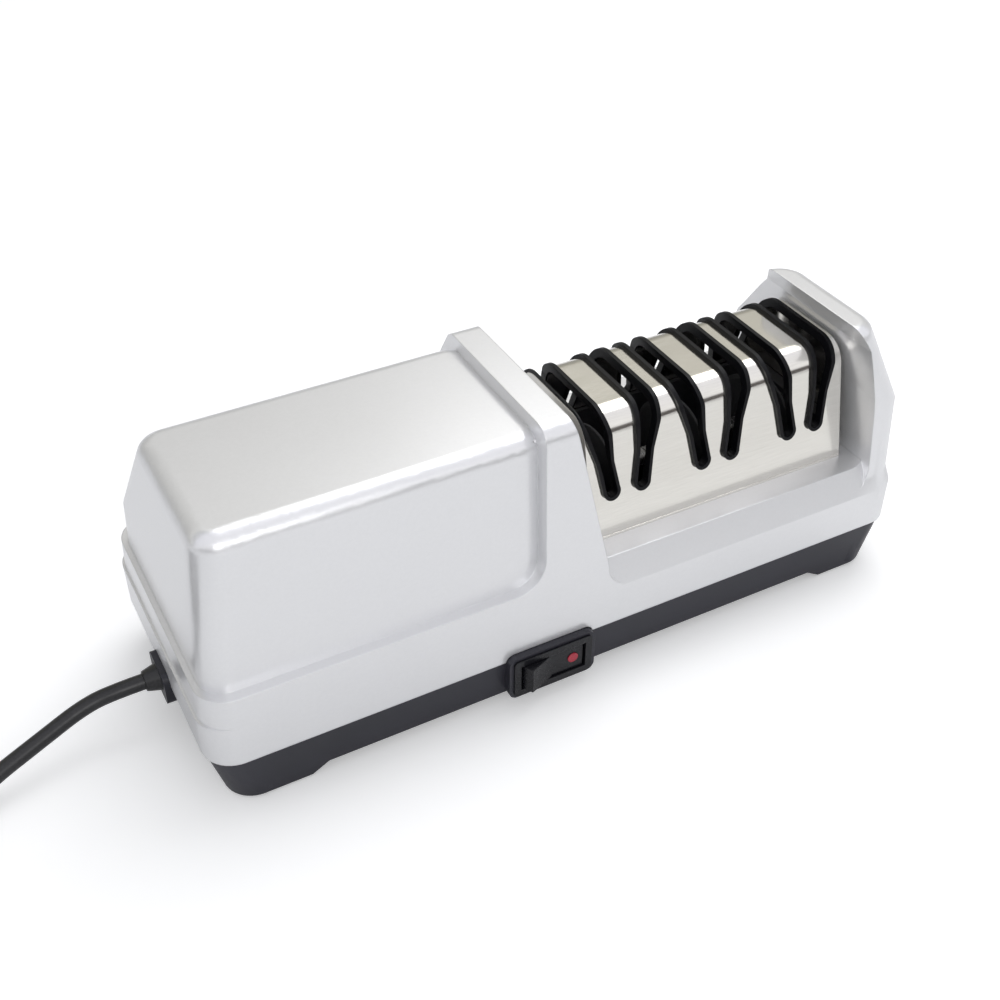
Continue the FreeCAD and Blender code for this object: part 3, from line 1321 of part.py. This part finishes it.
doc.recompute()
parts = [o for o in doc.Objects if hasattr(o, "Shape") and not o.InList]
names = [o.Label for o in parts]
assert len(names) == len(set(names)), "two sub-parts share a name"
for piece in doc.Objects:
    assert "Invalid" not in piece.State and "Error" not in piece.State, piece.Label
for piece in parts:
    assert not piece.Shape.isNull() and piece.Shape.isValid() and piece.Shape.Solids, piece.Label
# The frame's origin is the middle of the appliance without its cord, on the surface that it stands on
rocker_front = doc.getObject("rocker_button").Shape.optimalBoundingBox().YMin
to_origin = Vector(-(gland_end - relief_stand + right_end) / 2, -(rocker_front + back) / 2, 0)
print("all sub-parts moved by", [round(value, 4) for value in to_origin])
os.makedirs("parts", exist_ok=True)
for piece in parts:
    shape = piece.Shape.copy()
    shape.translate(to_origin)
    shape.exportStep("parts/%s.step" % piece.Label)
print(len(parts), "sub-parts written")
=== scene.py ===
import math
import bmesh
import bpy
import numpy as np
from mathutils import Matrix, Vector


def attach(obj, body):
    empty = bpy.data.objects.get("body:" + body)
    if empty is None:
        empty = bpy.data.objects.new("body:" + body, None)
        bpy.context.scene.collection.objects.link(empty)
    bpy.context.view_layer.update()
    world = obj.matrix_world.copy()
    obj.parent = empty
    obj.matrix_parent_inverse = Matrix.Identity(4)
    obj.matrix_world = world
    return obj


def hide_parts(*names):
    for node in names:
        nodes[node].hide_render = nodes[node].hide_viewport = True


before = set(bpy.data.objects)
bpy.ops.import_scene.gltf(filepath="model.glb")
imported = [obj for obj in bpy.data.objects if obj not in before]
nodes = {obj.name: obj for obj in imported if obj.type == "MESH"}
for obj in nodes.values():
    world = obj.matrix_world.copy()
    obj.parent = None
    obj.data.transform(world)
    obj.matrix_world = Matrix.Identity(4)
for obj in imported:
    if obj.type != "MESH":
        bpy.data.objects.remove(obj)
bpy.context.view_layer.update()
scene = bpy.context.scene

# The camera stands in front and to the left, a little over half a metre away, and looks down on the
# sharpener from about 39 degrees.
camera_place = Vector((-0.2240, -0.40482, 0.4279))
camera_azimuth = math.radians(-28.045)
camera_height = math.radians(38.561)
camera_focus = 1322.13
picture_width = 1000.0
sensor_width = 36.0
camera_back = Vector((math.sin(camera_azimuth) * math.cos(camera_height),
                      -math.cos(camera_azimuth) * math.cos(camera_height), math.sin(camera_height)))
camera_data = bpy.data.cameras.new("camera")
camera_data.sensor_width = sensor_width
camera_data.lens = sensor_width * camera_focus / picture_width
camera_data.clip_start = 0.01
camera = bpy.data.objects.new("camera", camera_data)
scene.collection.objects.link(camera)
camera.rotation_mode = "QUATERNION"
camera.location = camera_place
camera.rotation_quaternion = (-camera_back).to_track_quat("-Z", "Y")
scene.camera = camera
scene.view_settings.view_transform = "Standard"

# The power cord is a round black rubber lead. It leaves the left end level, sinks to the table and
# goes out of the picture, where the rest of it is wound up and tied, with its plug beside the coil.


def grain_group():
    """Fine noise and slow clouds on the given coordinates: a mask, a roughness between two values and a
    normal that the fine noise roughens."""
    group = bpy.data.node_groups.new("surface_grain", "ShaderNodeTree")
    face = group.interface
    face.new_socket("Vector", in_out="INPUT", socket_type="NodeSocketVector")
    face.new_socket("Normal", in_out="INPUT", socket_type="NodeSocketVector")
    for name in ("Grain scale", "Cloud scale", "Rough low", "Rough high", "Relief"):
        face.new_socket(name, in_out="INPUT", socket_type="NodeSocketFloat")
    face.new_socket("Mask", in_out="OUTPUT", socket_type="NodeSocketFloat")
    face.new_socket("Roughness", in_out="OUTPUT", socket_type="NodeSocketFloat")
    face.new_socket("Normal", in_out="OUTPUT", socket_type="NodeSocketVector")
    made = group.nodes
    link = group.links.new
    source = made.new("NodeGroupInput")
    sink = made.new("NodeGroupOutput")
    fine = made.new("ShaderNodeTexNoise")
    fine.inputs["Detail"].default_value = 4.0
    cloud = made.new("ShaderNodeTexNoise")
    cloud.inputs["Detail"].default_value = 3.0
    for noise, scale in ((fine, "Grain scale"), (cloud, "Cloud scale")):
        link(source.outputs["Vector"], noise.inputs["Vector"])
        link(source.outputs[scale], noise.inputs["Scale"])
    blend = made.new("ShaderNodeMix")
    blend.inputs["Factor"].default_value = 0.5
    link(fine.outputs["Fac"], blend.inputs["A"])
    link(cloud.outputs["Fac"], blend.inputs["B"])
    spread = made.new("ShaderNodeMapRange")
    spread.inputs["From Min"].default_value = 0.35
    spread.inputs["From Max"].default_value = 0.65
    link(blend.outputs["Result"], spread.inputs["Value"])
    rough = made.new("ShaderNodeMapRange")
    link(spread.outputs["Result"], rough.inputs["Value"])
    link(source.outputs["Rough low"], rough.inputs["To Min"])
    link(source.outputs["Rough high"], rough.inputs["To Max"])
    bump = made.new("ShaderNodeBump")
    bump.inputs["Distance"].default_value = 0.0002
    link(source.outputs["Relief"], bump.inputs["Strength"])
    link(fine.outputs["Fac"], bump.inputs["Height"])
    link(source.outputs["Normal"], bump.inputs["Normal"])
    link(spread.outputs["Result"], sink.inputs["Mask"])
    link(rough.outputs["Result"], sink.inputs["Roughness"])
    link(bump.outputs["Normal"], sink.inputs["Normal"])
    return group


surface_grain = grain_group()


def grained(name, dark, light, rough, grain=900.0, cloud=25.0, relief=0.15, stretch=(1, 1, 1), metal=0.0,
            coat=0.0, edge=0.0003, shine=0.5):
    """A finish whose colour and gloss wander between two values with the grain; stretch draws it out, and
    edge is the width over which the light takes sharp edges as rounded."""
    material = bpy.data.materials.new(name)
    material.use_nodes = True
    made = material.node_tree.nodes
    link = material.node_tree.links.new
    shader = made["Principled BSDF"]
    place = made.new("ShaderNodeTexCoord")
    draw = made.new("ShaderNodeMapping")
    draw.inputs["Scale"].default_value = stretch
    effect = made.new("ShaderNodeGroup")
    effect.node_tree = surface_grain
    effect.inputs["Grain scale"].default_value = grain
    effect.inputs["Cloud scale"].default_value = cloud
    effect.inputs["Rough low"].default_value = rough[0]
    effect.inputs["Rough high"].default_value = rough[1]
    effect.inputs["Relief"].default_value = relief
    tint = made.new("ShaderNodeMix")
    tint.data_type = "RGBA"
    tint.inputs["A"].default_value = (*dark, 1.0)
    tint.inputs["B"].default_value = (*light, 1.0)
    link(place.outputs["Object"], draw.inputs["Vector"])
    link(draw.outputs["Vector"], effect.inputs["Vector"])
    rounding = made.new("ShaderNodeBevel")
    rounding.samples = 6
    rounding.inputs["Radius"].default_value = edge
    link(rounding.outputs["Normal"], effect.inputs["Normal"])
    link(effect.outputs["Mask"], tint.inputs["Factor"])
    link(tint.outputs["Result"], shader.inputs["Base Color"])
    link(effect.outputs["Roughness"], shader.inputs["Roughness"])
    link(effect.outputs["Normal"], shader.inputs["Normal"])
    shader.inputs["Metallic"].default_value = metal
    shader.inputs["Coat Weight"].default_value = coat
    shader.inputs["Specular IOR Level"].default_value = shine
    return material


def dress(material, *names):
    """Gives CAD nodes their finish."""
    for name in names:
        piece = nodes[name]
        if not piece.material_slots:
            piece.data.materials.append(material)
        for place in piece.material_slots:
            place.material = material


cord_thick = 0.007
cord_exit = (-0.1743, 0.00498, 0.024)
cord_route = [cord_exit, (-0.1837, 0.00498, 0.024), (-0.1987, 0.00648, 0.021), (-0.2207, 0.00018, 0.016),
              (-0.2427, -0.00652, 0.0115), (-0.2607, -0.01532, 0.0069), (-0.2769, -0.02702, 0.0047),
              (-0.2907, -0.03865, 0.0051)]
coil_middle = Vector((-0.3295, -0.00332, 0.0051))
coil_outside = 0.052
coil_step = 0.0088
lower_half_turns = 5
upper_half_turns = 4
coil_start = math.radians(-50.0)
turn_points = 12
tail_turn = math.radians(130.0)
tail_radius = 0.060
plug_tail = 0.014


def coil_points():
    """Points at even angles, clockwise: the radius falls by one step a turn, then rises again on the layer
    above. The points stand out a little, because the spline runs inside them."""
    total = lower_half_turns + 1 + upper_half_turns
    share = np.arange(0, total * turn_points / 2 + 1) / (turn_points / 2)
    angle = coil_start - math.pi * share
    inward = np.minimum(share, lower_half_turns)
    outward = np.clip(share - lower_half_turns - 1, 0, None)
    radius = coil_outside - coil_step / 2 * (inward - outward)
    radius /= math.cos(math.pi / turn_points)
    climb = np.clip(share - lower_half_turns, 0, 1)
    height = coil_step * climb * climb * (3 - 2 * climb)
    return np.stack([coil_middle.x + radius * np.cos(angle), coil_middle.y + radius * np.sin(angle),
                     coil_middle.z + height], axis=1)


def tail_points():
    """Points on an arc that runs on round the coil, wider than its turns, then one straight on to the plug."""
    last_radius = coil_outside - coil_step / 2 * (lower_half_turns - upper_half_turns)
    inset = last_radius - tail_radius
    steps = 5
    angle = coil_start - tail_turn * np.arange(1, steps + 1) / steps
    radius = np.full(steps, tail_radius / math.cos(tail_turn / steps / 2))
    radius[-1] = tail_radius
    x = coil_middle.x + inset * math.cos(coil_start) + radius * np.cos(angle)
    y = coil_middle.y + inset * math.sin(coil_start) + radius * np.sin(angle)
    x = np.append(x, x[-1] + plug_tail * math.sin(angle[-1]))
    y = np.append(y, y[-1] - plug_tail * math.cos(angle[-1]))
    return np.stack([x, y, np.full(steps + 1, coil_middle.z + coil_step)], axis=1)


cord_line = np.concatenate([np.array(cord_route), coil_points(), tail_points()])
lead_curve = bpy.data.curves.new("power_lead", "CURVE")
lead_curve.dimensions = "3D"
lead_spline = lead_curve.splines.new("NURBS")
lead_spline.points.add(len(cord_line) - 1)
lead_spline.points.foreach_set("co", np.c_[cord_line, np.ones(len(cord_line))].ravel())
lead_spline.order_u = 3
lead_spline.use_endpoint_u = True
lead_curve.resolution_u = 8
lead_curve.bevel_depth = cord_thick / 2
lead_curve.bevel_resolution = 5
lead_curve.use_fill_caps = True
power_lead = bpy.data.objects.new("power_lead", lead_curve)
scene.collection.objects.link(power_lead)
cord_rubber = grained("cord_rubber", (0.008, 0.008, 0.009), (0.020, 0.020, 0.022), (0.30, 0.46), relief=0.2)
lead_curve.materials.append(cord_rubber)
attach(power_lead, "housing")
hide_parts("power_cord", "cord_coil")
dress(cord_rubber, "strain_relief", "plug_body")
dress(grained("plug_brass", (0.50, 0.40, 0.20), (0.62, 0.52, 0.28), (0.18, 0.34), metal=1.0,
              stretch=(1, 1, 0.2)), "plug_pins", "switch_terminals")
dress(grained("tie_plastic", (0.010, 0.010, 0.010), (0.022, 0.022, 0.022), (0.40, 0.55)), "coil_tie")

# The floor is plain and white, the light comes from all round with one broad lamp above and behind
# and a weaker one in front. Shiny parts mirror bright panels with dark gaps between them: one low in
# front and one high up behind.
floor_half = 6.0
floor_seen_lift = 0.26
floor_mesh = bpy.data.meshes.new("floor")
floor_mesh.from_pydata([(-floor_half, -floor_half, 0), (floor_half, -floor_half, 0),
                        (floor_half, floor_half, 0), (-floor_half, floor_half, 0)], [], [(0, 1, 2, 3)])
floor = bpy.data.objects.new("floor", floor_mesh)
scene.collection.objects.link(floor)
floor_paint = bpy.data.materials.new("floor_paint")
floor_paint.use_nodes = True
floor_shader = floor_paint.node_tree.nodes["Principled BSDF"]
floor_shader.inputs["Base Color"].default_value = (0.93, 0.93, 0.935, 1.0)
floor_shader.inputs["Roughness"].default_value = 0.9
floor_shader.inputs["Specular IOR Level"].default_value = 0.1
floor_ray = floor_paint.node_tree.nodes.new("ShaderNodeLightPath")
floor_lift = floor_paint.node_tree.nodes.new("ShaderNodeMath")
floor_lift.operation = "MULTIPLY"
floor_lift.inputs[1].default_value = floor_seen_lift
floor_glow = floor_paint.node_tree.nodes.new("ShaderNodeEmission")
floor_sum = floor_paint.node_tree.nodes.new("ShaderNodeAddShader")
floor_link = floor_paint.node_tree.links.new
floor_link(floor_ray.outputs["Is Camera Ray"], floor_lift.inputs[0])
floor_link(floor_lift.outputs["Value"], floor_glow.inputs["Strength"])
floor_link(floor_shader.outputs["BSDF"], floor_sum.inputs[0])
floor_link(floor_glow.outputs["Emission"], floor_sum.inputs[1])
floor_link(floor_sum.outputs["Shader"], floor_paint.node_tree.nodes["Material Output"].inputs["Surface"])
floor_mesh.materials.append(floor_paint)

sky_strength = 0.62
studio = bpy.data.worlds.new("studio")
studio.use_nodes = True
scene.world = studio
studio_nodes = studio.node_tree.nodes
studio_link = studio.node_tree.links.new
around = studio_nodes["Background"]
around.inputs["Color"].default_value = (0.97, 0.98, 1.0, 1.0)
around.inputs["Strength"].default_value = sky_strength
seen = studio_nodes.new("ShaderNodeBackground")
seen.inputs["Color"].default_value = (1.0, 1.0, 1.0, 1.0)
mirrored = studio_nodes.new("ShaderNodeBackground")
sky_place = studio_nodes.new("ShaderNodeTexCoord")
sky_split = studio_nodes.new("ShaderNodeSeparateXYZ")
sky_front = studio_nodes.new("ShaderNodeMath")
sky_front.operation = "MULTIPLY"
sky_front.inputs[1].default_value = -1.0
sky_turn = studio_nodes.new("ShaderNodeMath")
sky_turn.operation = "ARCTAN2"
sky_share = studio_nodes.new("ShaderNodeMath")
sky_share.operation = "DIVIDE"
sky_share.inputs[1].default_value = math.pi
sky_ramp = studio_nodes.new("ShaderNodeValToRGB")
sky_bands = [(0.0, (0.95, 0.95, 0.97)), (0.01, (0.10, 0.09, 0.09)), (0.085, (0.12, 0.11, 0.11)),
             (0.12, (0.98, 0.98, 1.0)), (0.60, (0.92, 0.92, 1.0)), (0.635, (0.06, 0.085, 0.075)),
             (0.668, (0.07, 0.10, 0.09)), (0.70, (0.86, 0.84, 0.78)), (0.86, (0.40, 0.39, 0.35)),
             (1.0, (0.34, 0.34, 0.32))]
sky_stops = sky_ramp.color_ramp.elements
for number, (share, colour) in enumerate(sky_bands):
    stop = sky_stops[number] if number < 2 else sky_stops.new(share)
    stop.position = share
    stop.color = (*colour, 1.0)
ray = studio_nodes.new("ShaderNodeLightPath")
shiny = studio_nodes.new("ShaderNodeMath")
shiny.operation = "MAXIMUM"
pick_mirrored = studio_nodes.new("ShaderNodeMixShader")
pick_seen = studio_nodes.new("ShaderNodeMixShader")
studio_link(sky_place.outputs["Generated"], sky_split.inputs["Vector"])
studio_link(sky_split.outputs["Y"], sky_front.inputs[0])
studio_link(sky_split.outputs["Z"], sky_turn.inputs[0])
studio_link(sky_front.outputs["Value"], sky_turn.inputs[1])
studio_link(sky_turn.outputs["Value"], sky_share.inputs[0])
studio_link(sky_share.outputs["Value"], sky_ramp.inputs["Fac"])
studio_link(sky_ramp.outputs["Color"], mirrored.inputs["Color"])
studio_link(ray.outputs["Is Glossy Ray"], shiny.inputs[0])
studio_link(ray.outputs["Is Transmission Ray"], shiny.inputs[1])
studio_link(shiny.outputs["Value"], pick_mirrored.inputs["Fac"])
studio_link(around.outputs["Background"], pick_mirrored.inputs[1])
studio_link(mirrored.outputs["Background"], pick_mirrored.inputs[2])
studio_link(ray.outputs["Is Camera Ray"], pick_seen.inputs["Fac"])
studio_link(pick_mirrored.outputs["Shader"], pick_seen.inputs[1])
studio_link(seen.outputs["Background"], pick_seen.inputs[2])
studio_link(pick_seen.outputs["Shader"], studio_nodes["World Output"].inputs["Surface"])


def lamp(name, place, target, across, power):
    """A square lamp that faces a point."""
    data = bpy.data.lights.new(name, "AREA")
    data.size = across
    data.energy = power
    made = bpy.data.objects.new(name, data)
    scene.collection.objects.link(made)
    made.location = place
    made.rotation_mode = "QUATERNION"
    made.rotation_quaternion = (Vector(target) - Vector(place)).to_track_quat("-Z", "Y")


above_place = (0.45, 0.35, 1.15)
above_target = (0.0, 0.0, 0.05)
above_width = 0.9
above_power = 6.0
front_place = (-0.2, -1.3, 0.7)
front_target = (0.0, 0.0, 0.06)
front_width = 0.8
front_power = 4.0
lamp("lamp_above", above_place, above_target, above_width, above_power)
lamp("lamp_front", front_place, front_target, front_width, front_power)

# The housing is one aluminium casting with a satin silver paint: motor cover, middle band, saddle and
# end wall. A bead inside the wall closes the pinhole where the cove round the cover meets its top corner.


def soft_copy(name, node, body, material, sharp=32.0):
    """The node's triangles welded to one skin. A corner's normal is the mean of its faces over a soft edge,
    each weighed by the area of the flat face that it is part of, so that flat faces stay flat up to their
    roundings. Edges above the sharp angle, and any between two wide flat faces, stay sharp."""
    weld_gap = 2e-6
    flat_angle = math.radians(0.35)
    crease_angle = math.radians(3.0)
    wide_area = 6e-4
    skin = bmesh.new()
    skin.from_mesh(nodes[node].data)
    bmesh.ops.remove_doubles(skin, verts=skin.verts, dist=weld_gap)
    skin.normal_update()
    skin.faces.ensure_lookup_table()
    angles = {edge: edge.calc_face_angle(math.pi) if len(edge.link_faces) == 2 else math.pi
              for edge in skin.edges}
    region = [-1] * len(skin.faces)
    region_area = []
    for first in skin.faces:
        if region[first.index] >= 0:
            continue
        region[first.index] = len(region_area)
        waiting = [first]
        area = 0.0
        while waiting:
            face = waiting.pop()
            area += face.calc_area()
            for edge in face.edges:
                if angles[edge] > flat_angle:
                    continue
                for other in edge.link_faces:
                    if region[other.index] < 0 and first.normal.angle(other.normal, 0.0) < flat_angle:
                        region[other.index] = len(region_area)
                        waiting.append(other)
        region_area.append(area)
    for edge, angle in angles.items():
        wide = all(region_area[region[face.index]] > wide_area for face in edge.link_faces)
        edge.smooth = angle < math.radians(sharp) and not (wide and angle > crease_angle)
    normals = {}
    for vert in skin.verts:
        left = set(vert.link_faces)
        while left:
            fan = [left.pop()]
            for face in fan:
                for edge in face.edges:
                    if vert in edge.verts and edge.smooth:
                        for other in edge.link_faces:
                            if other in left:
                                left.remove(other)
                                fan.append(other)
            mean = sum((face.normal * region_area[region[face.index]] for face in fan), Vector())
            mean = mean.normalized() if mean.length > 0 else vert.normal
            for face in fan:
                normals[(face.index, vert.index)] = mean.copy()
    mesh = bpy.data.meshes.new(name)
    skin.to_mesh(mesh)
    skin.free()
    mesh.shade_smooth()
    mesh.normals_split_custom_set([normals[(face.index, mesh.loops[corner].vertex_index)]
                                   for face in mesh.polygons for corner in face.loop_indices])
    mesh.materials.append(material)
    piece = bpy.data.objects.new(name, mesh)
    scene.collection.objects.link(piece)
    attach(piece, body)
    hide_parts(node)
    return piece


silver_paint = grained("silver_paint", (0.785, 0.787, 0.80), (0.81, 0.812, 0.825), (0.29, 0.32), grain=700.0,
                       cloud=8.0, relief=0.015, metal=0.55, coat=0.1, edge=0.0008)
soft_copy("housing_shell", "upper_housing", "housing", silver_paint)
bead_place = Vector((-0.01843, -0.04717, 0.1281))
bead_radius = 0.0013
bead_rings = 10
bead_steps = 20


def bead_points():
    """A ball: the radius turned down from the top in even rings, each ring in even steps; its two poles are
    last."""
    tilt, turn = np.meshgrid(np.arange(1, bead_rings) * math.pi / bead_rings,
                             np.arange(bead_steps) * 2 * math.pi / bead_steps, indexing="ij")
    rings = np.stack([np.sin(tilt) * np.cos(turn), np.sin(tilt) * np.sin(turn), np.cos(tilt)], axis=-1)
    poles = np.array([(0.0, 0.0, 1.0), (0.0, 0.0, -1.0)])
    return np.concatenate([rings.reshape(-1, 3), poles]) * bead_radius + np.array(bead_place)


def bead_faces():
    """Four-sided faces between neighbouring rings, and triangles round each pole."""
    here = np.arange((bead_rings - 1) * bead_steps).reshape(bead_rings - 1, bead_steps)
    after = np.roll(here, -1, axis=1)
    top = here.size
    sides = np.stack([here[:-1], here[1:], after[1:], after[:-1]], axis=-1).reshape(-1, 4)
    cap = np.stack([np.full(bead_steps, top), here[0], after[0]], axis=-1)
    floor_cap = np.stack([np.full(bead_steps, top + 1), after[-1], here[-1]], axis=-1)
    return sides.tolist() + cap.tolist() + floor_cap.tolist()


bead_mesh = bpy.data.meshes.new("cove_bead")
bead_mesh.from_pydata(bead_points().tolist(), [], bead_faces())
bead_mesh.shade_smooth()
bead_mesh.materials.append(silver_paint)
cove_bead = bpy.data.objects.new("cove_bead", bead_mesh)
scene.collection.objects.link(cove_bead)
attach(cove_bead, "housing")

# The base is a moulded black tray on four rubber feet, held by four screws from below.
black_base = grained("black_base", (0.018, 0.018, 0.025), (0.030, 0.030, 0.040), (0.34, 0.5), grain=1800.0,
                     relief=0.08, shine=0.4)
soft_copy("base_shell", "base_tray", "housing", black_base)
dress(grained("foot_rubber", (0.010, 0.010, 0.010), (0.020, 0.020, 0.020), (0.6, 0.8)), "rubber_feet")
screw_zinc = grained("screw_zinc", (0.40, 0.40, 0.41), (0.55, 0.55, 0.56), (0.25, 0.42), metal=1.0)
dress(screw_zinc, "base_screws", "motor_foot_screws", "motor_through_bolts")

# The switch is a gloss black rocker in a rim, with a red lamp in its right half.
switch_black = grained("switch_black", (0.005, 0.005, 0.007), (0.009, 0.009, 0.012), (0.26, 0.34), relief=0.02,
                       shine=0.35)
soft_copy("switch_rim", "switch_body", "housing", switch_black)
soft_copy("rocker_cap", "rocker_button", "rocker", switch_black)
red_lens = grained("red_lens", (0.30, 0.012, 0.028), (0.46, 0.03, 0.055), (0.12, 0.2))
soft_copy("lamp_cap", "indicator_lens", "rocker", red_lens)

# The module is a folded cover of brushed steel over a black frame, with six black guides.
brushed_steel = grained("brushed_steel", (0.74, 0.72, 0.67), (0.84, 0.82, 0.77), (0.11, 0.17), grain=2200.0,
                        cloud=30.0, relief=0.02, stretch=(0.04, 1, 1), metal=1.0)
soft_copy("steel_cover", "module_cover", "housing", brushed_steel)
dress(grained("frame_black", (0.012, 0.012, 0.014), (0.026, 0.026, 0.030), (0.45, 0.6)), "module_frame")
guide_plastic = grained("guide_plastic", (0.0012, 0.0012, 0.0022), (0.0035, 0.0035, 0.005), (0.36, 0.5),
                        shine=0.2)
for number in range(1, 7):
    soft_copy("guide_rim_%d" % number, "blade_guide_%d" % number, "housing", guide_plastic)

# Below the cover a flatted shaft carries three pairs of sprung abrasive discs.
ground_steel = grained("ground_steel", (0.45, 0.45, 0.45), (0.62, 0.62, 0.62), (0.18, 0.32), metal=1.0,
                       stretch=(1, 0.05, 0.05))
dress(ground_steel, "disc_shaft", "disc_stop_rings", "motor_shaft", "left_shaft_bearing",
      "right_shaft_bearing", "front_motor_bearing", "rear_motor_bearing")
# The discs are dark grey grit, and their colour is darkened further as painted shade for the deep slots they
# sit in.
dress(grained("abrasive_grit_and_slot_shade", (0.028, 0.028, 0.030), (0.075, 0.075, 0.08), (0.7, 0.95), grain=2400.0,
              relief=0.8), *["abrasive_disc_%d" % number for number in range(1, 7)])
# The springs are bright steel; their near-black colour is painted shade for the slots, and it also hides their
# reflections.
dress(grained("spring_steel", (0.05, 0.05, 0.055), (0.10, 0.10, 0.11), (0.3, 0.45), metal=1.0),
      *["disc_spring_%d" % number for number in (1, 2, 3)])

# The motor has a square stack with copper windings between two cast bells, and a moulded fan.
dress(grained("stator_iron", (0.14, 0.14, 0.15), (0.26, 0.26, 0.27), (0.4, 0.6), metal=0.8,
              stretch=(30, 1, 1)), "stator_core", "rotor_core")
dress(grained("winding_copper", (0.34, 0.13, 0.05), (0.62, 0.28, 0.12), (0.25, 0.4), metal=0.9,
              stretch=(6, 1, 1)), "stator_windings")
dress(grained("cast_metal", (0.40, 0.40, 0.41), (0.55, 0.55, 0.56), (0.4, 0.6), metal=0.9, relief=0.5),
      "front_end_bell", "rear_end_bell")
dress(grained("coupling_metal", (0.42, 0.42, 0.43), (0.58, 0.58, 0.59), (0.25, 0.4), metal=1.0),
      "motor_coupling_half", "disc_coupling_half")
dress(grained("spider_rubber", (0.26, 0.02, 0.015), (0.42, 0.05, 0.04), (0.5, 0.7)), "coupling_spider")
dress(grained("fan_plastic", (0.03, 0.03, 0.033), (0.06, 0.06, 0.066), (0.4, 0.55)), "cooling_fan")

# The leads run from the cord to a terminal block and from there to the switch.
dress(grained("block_plastic", (0.62, 0.61, 0.56), (0.74, 0.73, 0.69), (0.35, 0.5)), "terminal_block")
dress(grained("lead_plastic", (0.03, 0.05, 0.16), (0.06, 0.09, 0.26), (0.3, 0.45)), "supply_leads",
      "switch_leads")
